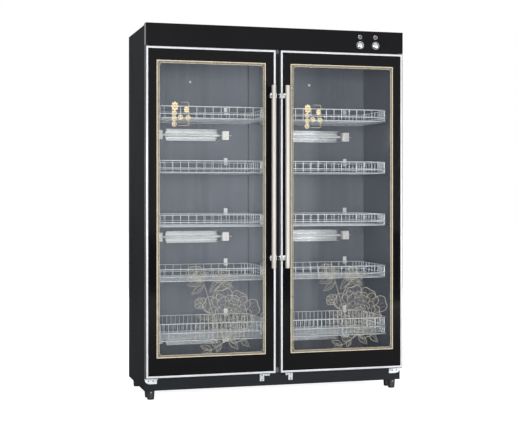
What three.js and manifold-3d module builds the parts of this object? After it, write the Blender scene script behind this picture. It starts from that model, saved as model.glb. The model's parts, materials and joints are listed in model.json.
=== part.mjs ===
// Dish sterilizer cabinet: a sheet-steel body on six feet, a stainless chamber with wire baskets and
// heater lamps, two framed glass doors on corner pivots, and a control fascia above them.
// Millimetres, +Z up, +X to the right as seen from the front, and the doors face -Y.
// Depths (y) below are counted backwards from the door fronts; the last lines centre the cabinet.

import * as THREE from "three";
import { mergeVertices } from "three/addons/utils/BufferGeometryUtils.js";
import Module from "manifold-3d";

const wasm = await Module();
wasm.setup();

// Overall size
const cabinetWidth = 1200;
const cabinetDepth = 455; // door fronts to back panel
const cabinetHeight = 1647;

// Clearances and cutting
const seat = 0.3; // between pieces that rest on or slide in each other
const overrun = 1; // a cutter runs this far past the face that it cuts

// Sheet thicknesses
const sheet = 1.5;
const linerSheet = 1.2;
const kickSheet = 2;

// Body
const footHeight = 41;
const bodyFront = 36; // depth of the body's front face
const cornerFlange = 30;
const rearFlange = 20;
const sidePanelLift = 7;
const topStep = 6; // the fascia stands this much above the top panel
const kickHeight = 57;
const baseFlange = 30;

// Feet
const footTopRadius = 18;
const footBottomRadius = 15.5;
const footEdge = 2.5;
const footSideInset = 32;
const footFrontInset = 24; // behind the body's front face
const footPairPitch = 54;
const footRearInset = 35;
const footSides = 12;

// Control fascia
const fasciaHeight = 97;
const fasciaLip = 18;
const fasciaOverhang = 10; // reach of its top over the body, where the top panel begins
const controlPitch = 75;
const controlInset = 135; // right edge to the right button
const buttonDrop = 65.5; // fascia top to the buttons
const indicatorDrop = 28;
const bezelRadius = 17.5;
const bezelProud = 3;
const buttonRadius = 13.5;
const buttonProud = 6;
const buttonDome = 3;
const buttonLength = 20; // behind the fascia's face
const indicatorRadius = 9.5;
const indicatorRim = 2;
const indicatorDome = 3;
const indicatorBodyRadius = 8;
const indicatorLength = 30;
const roundSides = 12;

// Chamber
const floorRise = 79; // chamber floor above the feet
const ceilingDrop = 15; // chamber ceiling below the fascia
const backCavity = 29;
const linerFlange = 20;
const upstand = 40;
const ductWidth = 46;
const ductDepth = 8;
const mullionWidth = 64;
const mullionDepth = 16;
const sensorRadius = 5;
const sensorProud = 4;
const sensorDrop = 100; // below the ceiling

// Baskets
const basketLevels = 5;
const basketCentreGap = 18;
const basketWallGap = 17;
const basketFrontGap = 3;
const basketBackGap = 11;
const firstRail = 209; // lowest basket's top rail above the chamber floor
const basketHeadroom = 242; // highest basket's top rail to the chamber ceiling
const basketHeight = 56;
const deepBasketHeight = 79;
const basketCorner = 45;
const rail = 4.5;
const wire = 3.5;
const longWires = 8;
const endPosts = 3;
const cornerSteps = 3;

// Basket carriers
const clipWidth = 14;
const clipInnerInset = 119; // basket's inner end to the clip's middle
const clipOuterInset = 83;
const clipPlate = 3;
const clipBelow = 12;
const clipAbove = 22;
const clipTongue = 3;
const clipNose = 2.2;
const lugReach = 40;
const lugWidth = 16;
const lugSetBack = 5;
const lugPlate = 3;
const postLugWidth = 16;
const postLugReach = 20;
const postLugLap = 6;

// Heater lamps
const lampDrop = 112; // below the rail of every second basket
const lampLength = 355;
const lampHeight = 55.5;
const troughLength = 253;
const troughDepth = 34;
const lampRootHeight = 50;
const ceramicWidth = 33;
const ceramicHeight = 43;
const ceramicDepth = 34;
const tubeRadius = 6;
const tubeProud = 20; // tube's middle from the back wall
const tubeSides = 10;

// Doors
const doorGap = 20;
const doorThickness = 30;
const doorBottomGap = 1;
const doorTopGap = 2.5;
const frameLip = 10.5;
const frameProfile = 40;
const glassThickness = 4;
const glassRecess = 2;
const gasketWidth = 10;
const gasketSideInset = 12;
const gasketTopInset = 2;
const gasketBottomInset = 4;

// Hinges
const pivotFromEdge = 10;
const pivotFromFront = 22;
const pinRadius = 4;
const pinLength = 12;
const pinShoulder = 8;
const hingeWidth = 55;
const hingeDrop = 26;
const hingePlate = 2.5;
const hingeLeafGap = 2; // leaf below the door
const hingeLeafFront = 8;
const hingeCorner = 22;

// Catches
const catchPlateWidth = 20;
const catchPlateHeight = 36;
const catchPlateThickness = 3;
const catchInset = 57; // centre line to the plate's near edge
const catchTongueReach = 20;
const catchTongueHeight = 8;
const strikerRadius = 4;
const strikerLength = 11;
const strikerInset = 31; // door's inner edge to the striker
const strikerFromFront = 10;

// Handles
const barRadius = 10;
const barRise = 473; // bar's lower end above the door's lower edge
const barDrop = 161.5; // bar's upper end below the door's upper edge
const barInset = 22; // door's inner edge to the bar's middle
const barStandOff = 39;
const barSides = 12;
const bracketInset = 44; // bar's end to the bracket's middle
const bracketHeight = 22;
const bracketReach = 31;
const bracketPlate = 3;
const bracketWrap = 18;
const bracketSide = 2;
const postRadius = 6.5;

// Control box and mains entry
const controlBoxWidth = 200;
const controlBoxDepth = 160;
const controlBoxHeight = 80;
const controlBoxInset = 70; // from the side panel
const controlBoxSetBack = 60; // from the body's front face
const glandRadius = 14;
const glandLength = 12;
const glandBore = 4;
const glandSideInset = 150;
const glandRearInset = 40;

// Levels and faces worked out from the sizes above
const halfWidth = cabinetWidth / 2;
const kickTop = footHeight + kickHeight;
const doorBottom = kickTop + doorBottomGap;
const fasciaBottom = cabinetHeight - fasciaHeight;
const doorTop = fasciaBottom - doorTopGap;
const topOfBody = cabinetHeight - topStep;
const sideBottom = footHeight + sidePanelLift;
const sideTop = topOfBody - sheet;
const rearFace = cabinetDepth - sheet;
const chamberHalf = halfWidth - cornerFlange;
const chamberFloor = footHeight + floorRise;
const chamberCeiling = fasciaBottom - ceilingDrop;
const chamberBack = cabinetDepth - backCavity;
const doorWidth = halfWidth - doorGap / 2;
const doorCentre = (halfWidth + doorGap / 2) / 2;
const barLength = doorTop - doorBottom - barRise - barDrop;
const mullionBack = bodyFront + mullionDepth;
const basketPitch = (chamberCeiling - chamberFloor - firstRail - basketHeadroom) / (basketLevels - 1);
const basketFront = mullionBack + basketFrontGap;
const basketBack = chamberBack - basketBackGap;
const basketOuter = chamberHalf - basketWallGap;
const controlX = halfWidth - controlInset;

// Finishes
const finishes = {
  blackPaint: { color: 0x25272b, roughness: 0.35, metalness: 0.1 },
  stainless: { color: 0x8f959b, roughness: 0.35, metalness: 0.9 },
  brightWire: { color: 0xd5d9da, roughness: 0.25, metalness: 0.9 },
  aluminium: { color: 0xd9dbdc, roughness: 0.3, metalness: 0.9 },
  champagne: { color: 0xcfc7bc, roughness: 0.3, metalness: 0.9 },
  glass: { color: 0x2b2d30, roughness: 0.05, metalness: 0, transparent: true, opacity: 0.45 },
  rubber: { color: 0x17181a, roughness: 0.8, metalness: 0 },
  zinc: { color: 0xb9bcbe, roughness: 0.35, metalness: 0.9 },
  mirror: { color: 0xe6e8ea, roughness: 0.12, metalness: 1 },
  ceramic: { color: 0xf0efec, roughness: 0.5, metalness: 0 },
  blackPlastic: { color: 0x1b1c1e, roughness: 0.55, metalness: 0 },
  chrome: { color: 0xd8dadc, roughness: 0.1, metalness: 1 },
  clearLens: { color: 0xdfe4e6, roughness: 0.15, metalness: 0 },
  redLens: { color: 0xa81c18, roughness: 0.2, metalness: 0 },
};

// Solids

function solidOf(geometry) {
  const bare = geometry.clone();
  bare.deleteAttribute("normal");
  bare.deleteAttribute("uv");
  const merged = mergeVertices(bare);
  return new wasm.Manifold(
    new wasm.Mesh({
      numProp: 3,
      vertProperties: new Float32Array(merged.attributes.position.array),
      triVerts: new Uint32Array(merged.index.array),
    }),
  );
}

function geometryOf(solid) {
  const mesh = solid.getMesh();
  const geometry = new THREE.BufferGeometry();
  geometry.setAttribute("position", new THREE.BufferAttribute(mesh.vertProperties, 3));
  geometry.setIndex(new THREE.BufferAttribute(mesh.triVerts, 1));
  geometry.computeVertexNormals();
  return geometry;
}

const join = (solids) => solids.reduce((whole, next) => whole.add(next));

// A geometry whose every vertex is moved to where the given rule puts it.
function remapped(geometry, rule) {
  const places = geometry.attributes.position;
  for (let i = 0; i < places.count; i++)
    places.setXYZ(i, ...rule(places.getX(i), places.getY(i), places.getZ(i)));
  return geometry;
}

// A box between two values on each axis, given in either order.
function slab(xs, ys, zs) {
  const [[x0, x1], [y0, y1], [z0, z1]] = [xs, ys, zs].map((pair) => [Math.min(...pair), Math.max(...pair)]);
  const unit = new THREE.BoxGeometry(1, 1, 1);
  return solidOf(remapped(unit, (x, y, z) => [x < 0 ? x0 : x1, y < 0 ? y0 : y1, z < 0 ? z0 : z1]));
}

// An outline pushed along an axis. It lies in YZ for "x", in XZ for "y" and in XY for "z".
function prism(axis, [from, to], outline, hole) {
  const flat = (points) =>
    points.map(([a, b]) => (axis === "y" ? new THREE.Vector2(b, a) : new THREE.Vector2(a, b)));
  const shape = new THREE.Shape(flat(outline));
  if (hole) shape.holes.push(new THREE.Path(flat(hole)));
  const unit = new THREE.ExtrudeGeometry(shape, { depth: 1, bevelEnabled: false });
  const turn = { x: (a, b, t) => [t, a, b], y: (a, b, t) => [b, t, a], z: (a, b, t) => [a, b, t] };
  return solidOf(remapped(unit, (a, b, t) => turn[axis](a, b, t > 0 ? to : from)));
}

// The corners of a regular polygon, or of a circle cut into that many sides.
function circle([a, b], radius, sides = roundSides) {
  return Array.from({ length: sides }, (_, i) => {
    const angle = (2 * Math.PI * i) / sides;
    return [a + radius * Math.cos(angle), b + radius * Math.sin(angle)];
  });
}

// A polygon whose sides, not its corners, lie at the radius, so that a pin of that radius fits in it.
function holeCircle(centre, radius, sides = roundSides) {
  return circle(centre, radius / Math.cos(Math.PI / sides), sides);
}

// A rectangle about zero with round corners.
function roundedRectangle(halfX, halfY, radius) {
  const quadrants = [[1, 1], [-1, 1], [-1, -1], [1, -1]];
  return quadrants.flatMap(([sx, sy], quarter) =>
    Array.from({ length: cornerSteps + 1 }, (_, i) => {
      const angle = (Math.PI / 2) * (quarter + i / cornerSteps);
      return [
        sx * (halfX - radius) + radius * Math.cos(angle),
        sy * (halfY - radius) + radius * Math.sin(angle),
      ];
    }),
  );
}

// A turned shape on a vertical axis, from [radius, height] points listed upwards along the outside.
function turned(profile, sides) {
  return new THREE.LatheGeometry(profile.map(([r, z]) => new THREE.Vector2(r, z)), sides)
    .rotateX(Math.PI / 2);
}

// Placing

const cabinet = new THREE.Group();

function place(parent, name, geometry, finish, x = 0, y = 0, z = 0) {
  const mesh = new THREE.Mesh(geometry, new THREE.MeshStandardMaterial(finish));
  mesh.name = name;
  mesh.position.set(x, y, z);
  parent.add(mesh);
}

const sides = [
  { side: -1, hand: "left" },
  { side: 1, hand: "right" },
];
const across = [-halfWidth, halfWidth];
const mirrored = (side, near, far) => [side * near, side * far];
const upFrom = (start, length) => [start, start + length];

// Body

function sidePanel(side) {
  const inner = halfWidth - sheet;
  const outline = [
    [halfWidth, bodyFront],
    [halfWidth, rearFace],
    [halfWidth - rearFlange, rearFace],
    [halfWidth - rearFlange, rearFace - sheet],
    [inner, rearFace - sheet],
    [inner, bodyFront + sheet],
    [chamberHalf, bodyFront + sheet],
    [chamberHalf, bodyFront],
  ];
  return prism("z", [sideBottom, sideTop], outline.map(([x, y]) => [side * x, y]));
}

// Kick plate, bottom and a low rear lip are one bent sheet, with a flange inside each side panel.
function basePlinth() {
  const inner = halfWidth - sheet;
  const kickFace = bodyFront - kickSheet;
  const floor = footHeight + sheet;
  const lipTop = sideBottom - seat;
  const outline = [
    [kickFace, footHeight],
    [rearFace, footHeight],
    [rearFace, lipTop],
    [rearFace - sheet, lipTop],
    [rearFace - sheet, floor],
    [bodyFront, floor],
    [bodyFront, kickTop],
    [kickFace, kickTop],
  ];
  const flangeDepth = [bodyFront + sheet + seat, rearFace - sheet - seat];
  const flangeHeight = [footHeight + sheet / 2, footHeight + baseFlange];
  return join([
    prism("x", across, outline),
    ...sides.map(({ side }) => slab(mirrored(side, inner - sheet, inner), flangeDepth, flangeHeight)),
  ]);
}

function placeBody() {
  for (const { side, hand } of sides)
    place(cabinet, `${hand}_side_panel`, geometryOf(sidePanel(side)), finishes.blackPaint);
  const top = slab(across, [bodyFront + fasciaOverhang + seat, cabinetDepth], [sideTop, topOfBody]);
  const back = slab(across, [rearFace, cabinetDepth], [sideBottom, sideTop]);
  place(cabinet, "top_panel", geometryOf(top), finishes.blackPaint);
  place(cabinet, "back_panel", geometryOf(back), finishes.blackPaint);
  place(cabinet, "base_plinth", geometryOf(basePlinth()), finishes.blackPaint);
}

function placeFeet() {
  const profile = [
    [0, 0],
    [footBottomRadius - footEdge, 0],
    [footBottomRadius, footEdge],
    [footTopRadius, footHeight],
    [0, footHeight],
  ];
  const foot = geometryOf(solidOf(turned(profile, footSides)));
  const frontRow = bodyFront + footFrontInset;
  const rows = { front: frontRow, second: frontRow + footPairPitch, rear: cabinetDepth - footRearInset };
  for (const { side, hand } of sides)
    for (const [row, depth] of Object.entries(rows))
      place(cabinet, `${hand}_${row}_foot`, foot, finishes.blackPlastic,
        side * (halfWidth - footSideInset), depth);
}

// Chamber

const railTop = (level) => chamberFloor + firstRail + level * basketPitch;
const heightAt = (level) => (level === 0 ? deepBasketHeight : basketHeight);
const basketBottom = (level) => railTop(level) - heightAt(level);
const levels = Array.from({ length: basketLevels }, (_, level) => level);
const lugLevel = (level) => [basketBottom(level) - seat - lugPlate, basketBottom(level) - seat];

function sideLiner(side) {
  const outer = chamberHalf + linerSheet;
  const front = bodyFront + sheet;
  const outline = [
    [chamberHalf, front],
    [chamberHalf + linerFlange, front],
    [chamberHalf + linerFlange, front + linerSheet],
    [outer, front + linerSheet],
    [outer, chamberBack + linerSheet],
    [chamberHalf, chamberBack + linerSheet],
  ];
  const wall = prism("z", [chamberFloor, chamberCeiling], outline.map(([x, y]) => [side * x, y]));
  const lugs = levels.map((level) =>
    slab(
      mirrored(side, chamberHalf - lugReach, chamberHalf + linerSheet / 2),
      upFrom(basketFront + lugSetBack, lugWidth),
      lugLevel(level),
    ),
  );
  return join([wall, ...lugs]);
}

// A clip on the back wall holds the basket's rear rail on its tongue.
function railClip(x, level) {
  const face = chamberBack - clipPlate;
  const root = chamberBack + linerSheet / 2;
  const tongueTop = railTop(level) - rail - seat;
  const tongueFront = basketBack - rail + clipNose;
  return prism("x", [x - clipWidth / 2, x + clipWidth / 2], [
    [root, railTop(level) - clipBelow],
    [root, railTop(level) + clipAbove],
    [face, railTop(level) + clipAbove],
    [face, tongueTop],
    [tongueFront, tongueTop],
    [tongueFront, tongueTop - clipTongue],
    [face, tongueTop - clipTongue],
    [face, railTop(level) - clipBelow],
  ]);
}

// The back wall is bent forward down its middle into a duct for the wiring.
function backLiner() {
  const half = ductWidth / 2;
  const ductFace = chamberBack - ductDepth;
  const rear = chamberBack + linerSheet;
  const rightHalf = [
    [half, ductFace],
    [half, chamberBack],
    [chamberHalf, chamberBack],
    [chamberHalf, rear],
    [half - linerSheet, rear],
    [half - linerSheet, ductFace + linerSheet],
  ];
  const leftHalf = rightHalf.map(([x, y]) => [-x, y]).reverse();
  const wall = prism("z", [chamberFloor, chamberCeiling], [...rightHalf, ...leftHalf]);
  const clips = sides.flatMap(({ side }) =>
    [basketCentreGap + clipInnerInset, basketOuter - clipOuterInset].flatMap((x) =>
      levels.map((level) => railClip(side * x, level)),
    ),
  );
  const sensors = sides.map(({ side }) =>
    prism("y", [chamberBack - sensorProud, chamberBack + linerSheet / 2],
      circle([side * doorCentre, chamberCeiling - sensorDrop], sensorRadius, tubeSides)),
  );
  return join([wall, ...clips, ...sensors]);
}

// The roof or the floor: a plate, and a front flange turned away from the chamber.
function levelLiner(face, outward) {
  const narrow = chamberHalf - seat;
  const rear = chamberBack + linerSheet;
  return prism("x", [-narrow, narrow], [
    [bodyFront, face],
    [rear, face],
    [rear, face + outward * linerSheet],
    [bodyFront + linerSheet, face + outward * linerSheet],
    [bodyFront + linerSheet, face + outward * upstand],
    [bodyFront, face + outward * upstand],
  ]);
}

// The centre post, a channel open to the back, with a lug for each basket's front corner.
function centrePost() {
  const half = mullionWidth / 2;
  const rightHalf = [
    [half, bodyFront],
    [half, mullionBack],
    [half - sheet, mullionBack],
    [half - sheet, bodyFront + sheet],
  ];
  const leftHalf = rightHalf.map(([x, y]) => [-x, y]).reverse();
  const lugs = sides.flatMap(({ side }) =>
    levels.map((level) =>
      slab(mirrored(side, half - postLugWidth / 2, half + postLugWidth / 2),
        [mullionBack - postLugLap, mullionBack + postLugReach], lugLevel(level)),
    ),
  );
  return join([prism("z", [chamberFloor, chamberCeiling], [...rightHalf, ...leftHalf]), ...lugs]);
}

function placeChamber() {
  for (const { side, hand } of sides)
    place(cabinet, `${hand}_chamber_wall`, geometryOf(sideLiner(side)), finishes.stainless);
  place(cabinet, "chamber_back", geometryOf(backLiner()), finishes.stainless);
  place(cabinet, "chamber_roof", geometryOf(levelLiner(chamberCeiling, 1)), finishes.stainless);
  place(cabinet, "chamber_floor", geometryOf(levelLiner(chamberFloor, -1)), finishes.stainless);
  place(cabinet, "centre_post", geometryOf(centrePost()), finishes.blackPaint);
}

// Baskets

// Evenly spaced places from -reach to reach.
const spread = (count, reach) =>
  Array.from({ length: count }, (_, i) => -reach + (2 * reach * i) / (count - 1));

// A wire bent to a U: across the floor and up both walls, centred in the rings' thickness.
function uOutline(half, height) {
  const skin = (rail - wire) / 2;
  const reach = half - skin;
  const top = height - rail / 2;
  return [
    [-reach, skin],
    [reach, skin],
    [reach, top],
    [reach - wire, top],
    [reach - wire, skin + wire],
    [-reach + wire, skin + wire],
    [-reach + wire, top],
    [-reach, top],
  ];
}

// Two rings, wires bent across the floor and up the front and back, and posts up the ends.
function wireBasket(height) {
  const halfX = (basketOuter - basketCentreGap) / 2;
  const halfY = (basketBack - basketFront) / 2;
  const outer = roundedRectangle(halfX, halfY, basketCorner);
  const inner = roundedRectangle(halfX - rail, halfY - rail, basketCorner - rail);
  const ringAt = (z) => prism("z", upFrom(z, rail), outer, inner);
  const about = (middle) => [middle - wire / 2, middle + wire / 2];
  const bent = spread(longWires, halfX - basketCorner).map((x) =>
    prism("x", about(x), uOutline(halfY, height)),
  );
  const posts = [-1, 1].flatMap((end) =>
    spread(endPosts, halfY - basketCorner).map((y) =>
      slab(about(end * (halfX - rail / 2)), about(y), [rail / 2, height - rail / 2]),
    ),
  );
  return join([ringAt(0), ringAt(height - rail), ...bent, ...posts]);
}

function placeBaskets() {
  const deep = geometryOf(wireBasket(deepBasketHeight));
  const shallow = geometryOf(wireBasket(basketHeight));
  for (const { side, hand } of sides)
    for (const level of levels)
      place(cabinet, `${hand}_basket_${level + 1}`, level === 0 ? deep : shallow, finishes.brightWire,
        (side * (basketCentreGap + basketOuter)) / 2, (basketFront + basketBack) / 2,
        basketBottom(level));
}

// Heater lamps: about the middle of the lamp, with y counted from the back wall

function reflector() {
  const root = lampRootHeight / 2;
  const mouth = lampHeight / 2;
  return prism("x", [-troughLength / 2, troughLength / 2], [
    [0, -root],
    [0, root],
    [-troughDepth, mouth],
    [-troughDepth, mouth - linerSheet],
    [-linerSheet, root - linerSheet],
    [-linerSheet, linerSheet - root],
    [-troughDepth, linerSheet - mouth],
    [-troughDepth, -mouth],
  ]);
}

function heaterTube() {
  const end = lampLength / 2;
  const blocks = sides.map(({ side }) =>
    slab(mirrored(side, end - ceramicWidth, end), [-ceramicDepth, 0],
      [-ceramicHeight / 2, ceramicHeight / 2]),
  );
  const reach = end - ceramicWidth / 2;
  const tube = prism("x", [-reach, reach], circle([-tubeProud, 0], tubeRadius, tubeSides));
  return join([tube, ...blocks]);
}

function placeLamps() {
  const trough = geometryOf(reflector());
  const tube = geometryOf(heaterTube());
  const lampLevels = { lower: 0, middle: 2, upper: 4 };
  for (const { side, hand } of sides)
    for (const [height, level] of Object.entries(lampLevels)) {
      const at = [side * doorCentre, chamberBack, railTop(level) - lampDrop];
      place(cabinet, `${hand}_${height}_reflector`, trough, finishes.mirror, ...at);
      place(cabinet, `${hand}_${height}_heater_tube`, tube, finishes.ceramic, ...at);
    }
}

// Fascia and controls

const controls = [controlX - controlPitch, controlX];
const buttonHeight = cabinetHeight - buttonDrop;
const indicatorHeight = cabinetHeight - indicatorDrop;
const pivotX = halfWidth - pivotFromEdge;

// A bent tray, closed at its ends and open to the body behind, with a rim round each button's hole.
function controlFascia() {
  const backOfTop = bodyFront + fasciaOverhang;
  const shell = prism("x", across, [
    [0, fasciaBottom],
    [bodyFront, fasciaBottom],
    [bodyFront, sideTop],
    [backOfTop, sideTop],
    [backOfTop, cabinetHeight],
    [0, cabinetHeight],
  ]);
  const inside = [sheet - halfWidth, halfWidth - sheet];
  const hollow = prism("x", inside, [
    [sheet, fasciaBottom + sheet],
    [bodyFront - sheet, fasciaBottom + sheet],
    [bodyFront - sheet, fasciaBottom + fasciaLip],
    [bodyFront + overrun, fasciaBottom + fasciaLip],
    [bodyFront + overrun, sideTop - overrun],
    [backOfTop - sheet, sideTop - overrun],
    [backOfTop - sheet, cabinetHeight - sheet],
    [sheet, cabinetHeight - sheet],
  ]);
  const rims = controls.map((x) =>
    prism("y", [-bezelProud, sheet / 2], circle([x, buttonHeight], bezelRadius)),
  );
  const through = [-bezelProud - overrun, sheet + overrun];
  const holes = [
    ...controls.map((x) => prism("y", through, holeCircle([x, buttonHeight], buttonRadius + seat))),
    ...controls.map((x) =>
      prism("y", through, holeCircle([x, indicatorHeight], indicatorBodyRadius + seat)),
    ),
    ...sides.map(({ side }) =>
      prism("z", [fasciaBottom - overrun, fasciaBottom + sheet + overrun],
        holeCircle([side * pivotX, pivotFromFront], pinRadius + seat, tubeSides)),
    ),
  ];
  return holes.reduce((whole, hole) => whole.subtract(hole), join([shell.subtract(hollow), ...rims]));
}

// A push button, turned about its own axis, which points out of the fascia.
function pushButton() {
  const shoulder = buttonProud - buttonDome;
  return turned([
    [0, -buttonLength],
    [buttonRadius, -buttonLength],
    [buttonRadius, shoulder],
    [buttonRadius * Math.cos(Math.PI / 6), shoulder + buttonDome * Math.sin(Math.PI / 6)],
    [buttonRadius * Math.cos(Math.PI / 3), shoulder + buttonDome * Math.sin(Math.PI / 3)],
    [0, buttonProud],
  ], roundSides);
}

function indicatorLamp() {
  return turned([
    [0, -indicatorLength],
    [indicatorBodyRadius, -indicatorLength],
    [indicatorBodyRadius, 0],
    [indicatorRadius, 0],
    [indicatorRadius, indicatorRim],
    [indicatorRadius * Math.cos(Math.PI / 4), indicatorRim + indicatorDome * Math.sin(Math.PI / 4)],
    [0, indicatorRim + indicatorDome],
  ], roundSides);
}

function placeControls() {
  const facingOut = (geometry) => geometryOf(solidOf(geometry.rotateX(Math.PI / 2)));
  const button = facingOut(pushButton());
  const lamp = facingOut(indicatorLamp());
  place(cabinet, "control_fascia", geometryOf(controlFascia()), finishes.blackPaint);
  place(cabinet, "left_button", button, finishes.chrome, controls[0], 0, buttonHeight);
  place(cabinet, "right_button", button, finishes.chrome, controls[1], 0, buttonHeight);
  place(cabinet, "clear_indicator", lamp, finishes.clearLens, controls[0], 0, indicatorHeight);
  place(cabinet, "red_indicator", lamp, finishes.redLens, controls[1], 0, indicatorHeight);
}

// The control box is a cover without a bottom, on the chamber roof.
function controlBox() {
  const right = halfWidth - controlBoxInset;
  const width = [right - controlBoxWidth, right];
  const depth = upFrom(bodyFront + controlBoxSetBack, controlBoxDepth);
  const floor = chamberCeiling + linerSheet;
  const hollow = slab(
    [width[0] + sheet, width[1] - sheet],
    [depth[0] + sheet, depth[1] - sheet],
    [floor - overrun, floor + controlBoxHeight - sheet],
  );
  return slab(width, depth, upFrom(floor, controlBoxHeight)).subtract(hollow);
}

function mainsGland() {
  const centre = [halfWidth - glandSideInset, cabinetDepth - glandRearInset];
  return prism("z", [footHeight - glandLength, footHeight], circle(centre, glandRadius, footSides),
    circle(centre, glandBore, footSides));
}

function placeElectrics() {
  place(cabinet, "control_box", geometryOf(controlBox()), finishes.zinc);
  place(cabinet, "mains_gland", geometryOf(mainsGland()), finishes.blackPlastic);
}

// Hinges and catches

const pinOutline = (side, radius) => circle([side * pivotX, pivotFromFront], radius, tubeSides);

function lowerHinge(side) {
  const leafTop = doorBottom - hingeLeafGap;
  const kickFace = bodyFront - kickSheet;
  const width = mirrored(side, halfWidth - hingeWidth, halfWidth);
  const lowEdge = leafTop - hingeDrop;
  const arc = Array.from({ length: cornerSteps + 1 }, (_, i) => {
    const angle = (Math.PI / 2) * (i / cornerSteps);
    return [
      side * (halfWidth - hingeCorner + hingeCorner * Math.sin(angle)),
      lowEdge + hingeCorner - hingeCorner * Math.cos(angle),
    ];
  });
  const upright = [
    [side * (halfWidth - hingeWidth), leafTop],
    [side * (halfWidth - hingeWidth), lowEdge],
    ...arc,
    [side * halfWidth, leafTop],
  ];
  return join([
    prism("y", [kickFace - hingePlate, kickFace], upright),
    slab(width, [hingeLeafFront, kickFace], [leafTop - hingePlate, leafTop]),
    prism("z", [leafTop - hingePlate, doorBottom - seat], pinOutline(side, pinShoulder)),
    prism("z", [leafTop - hingePlate, doorBottom + pinLength], pinOutline(side, pinRadius)),
  ]);
}

function upperHinge(side) {
  const ledge = fasciaBottom + sheet;
  const plate = slab(
    mirrored(side, halfWidth - hingeWidth, halfWidth - sheet),
    [hingeLeafFront, bodyFront - sheet],
    upFrom(ledge, hingePlate),
  );
  return plate.add(
    prism("z", [doorTop - pinLength, ledge + hingePlate], pinOutline(side, pinRadius)),
  );
}

function doorCatch(side) {
  const kickFace = bodyFront - kickSheet;
  const plateFar = catchInset + catchPlateWidth;
  const tongueMiddle = doorBottom - strikerLength + catchTongueHeight / 2;
  const tongueHeight = [tongueMiddle - catchTongueHeight / 2, tongueMiddle + catchTongueHeight / 2];
  const tongueFront = strikerFromFront + strikerRadius + seat;
  return join([
    slab(mirrored(side, catchInset, plateFar), [kickFace - catchPlateThickness, kickFace],
      [kickTop - catchPlateHeight, kickTop]),
    slab(mirrored(side, catchInset, catchInset + catchPlateThickness), [tongueFront, kickFace],
      tongueHeight),
    slab(mirrored(side, catchInset - catchTongueReach, catchInset + catchPlateThickness),
      upFrom(tongueFront, catchPlateThickness), tongueHeight),
  ]);
}

function placeHinges() {
  for (const { side, hand } of sides) {
    place(cabinet, `${hand}_lower_hinge`, geometryOf(lowerHinge(side)), finishes.zinc);
    place(cabinet, `${hand}_upper_hinge`, geometryOf(upperHinge(side)), finishes.zinc);
    place(cabinet, `${hand}_catch`, geometryOf(doorCatch(side)), finishes.zinc);
  }
}

// Doors: each hangs in a group whose origin is its pivot, at the door's lower edge

// A door's width range, counted inwards from its outer edge.
const inward = (side, from, to) => mirrored(side, halfWidth - from, halfWidth - to);

function doorFrame(side) {
  const hollow = slab(
    inward(side, frameProfile, doorWidth - frameProfile),
    [-overrun, doorThickness + overrun],
    [doorBottom + frameProfile, doorTop - frameProfile],
  );
  const rebate = slab(
    inward(side, frameLip, doorWidth - frameLip),
    [-overrun, glassRecess + glassThickness],
    [doorBottom + frameLip, doorTop - frameLip],
  );
  const pivotHole = (range) =>
    prism("z", range, holeCircle([side * pivotX, pivotFromFront], pinRadius + seat, tubeSides));
  const striker = prism("z", [doorBottom - strikerLength, doorBottom + frameLip / 2],
    circle([side * (doorGap / 2 + strikerInset), strikerFromFront], strikerRadius, tubeSides));
  return slab(inward(side, 0, doorWidth), [0, doorThickness], [doorBottom, doorTop])
    .subtract(hollow)
    .subtract(rebate)
    .subtract(pivotHole([doorBottom - overrun, doorBottom + pinLength + overrun]))
    .subtract(pivotHole([doorTop - pinLength - overrun, doorTop + overrun]))
    .add(striker);
}

function doorGlass(side) {
  const edge = frameLip + seat;
  return slab(inward(side, edge, doorWidth - edge), upFrom(glassRecess, glassThickness),
    [doorBottom + edge, doorTop - edge]);
}

function doorGasket(side) {
  const depth = [doorThickness, bodyFront - seat];
  const low = doorBottom + gasketBottomInset;
  const high = doorTop - gasketTopInset;
  const outer = slab(inward(side, gasketSideInset, doorWidth - gasketSideInset), depth, [low, high]);
  const innerEdge = gasketSideInset + gasketWidth;
  return outer.subtract(slab(
    inward(side, innerEdge, doorWidth - innerEdge),
    [doorThickness - overrun, bodyFront],
    [low + gasketWidth, high - gasketWidth],
  ));
}

// A bar on two brackets, each bent round the door's inner edge.
function doorHandle(side) {
  const edge = doorGap / 2;
  const low = doorBottom + barRise;
  const bar = prism("z", upFrom(low, barLength),
    circle([side * (edge + barInset), -barStandOff], barRadius, barSides));
  const brackets = [low + bracketInset, low + barLength - bracketInset].flatMap((middle) => {
    const height = [middle - bracketHeight / 2, middle + bracketHeight / 2];
    return [
      slab(mirrored(side, edge - bracketSide, edge + bracketReach), [-bracketPlate, 0], height),
      slab(mirrored(side, edge - bracketSide, edge), [-bracketPlate, bracketWrap], height),
      prism("y", [-barStandOff, 0], circle([side * (edge + barInset), middle], postRadius, tubeSides)),
    ];
  });
  return join([bar, ...brackets]);
}

function placeDoors() {
  for (const { side, hand } of sides) {
    const door = new THREE.Group();
    const pivot = [side * pivotX, pivotFromFront, doorBottom];
    door.position.set(...pivot);
    const hang = (name, solid, finish) =>
      place(door, `${hand}_door_${name}`,
        geometryOf(solid).translate(-pivot[0], -pivot[1], -pivot[2]), finish);
    hang("frame", doorFrame(side), finishes.aluminium);
    hang("glass", doorGlass(side), finishes.glass);
    hang("gasket", doorGasket(side), finishes.rubber);
    hang("handle", doorHandle(side), finishes.champagne);
    cabinet.add(door);
  }
}

placeBody();
placeFeet();
placeChamber();
placeBaskets();
placeLamps();
placeControls();
placeElectrics();
placeHinges();
placeDoors();

// The bounding box runs from the handles' fronts to the back panel.
const handleProjection = barStandOff + barRadius;
cabinet.position.y = (handleProjection - cabinetDepth) / 2;

const group = new THREE.Group();
group.add(cabinet);

export default group;
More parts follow.
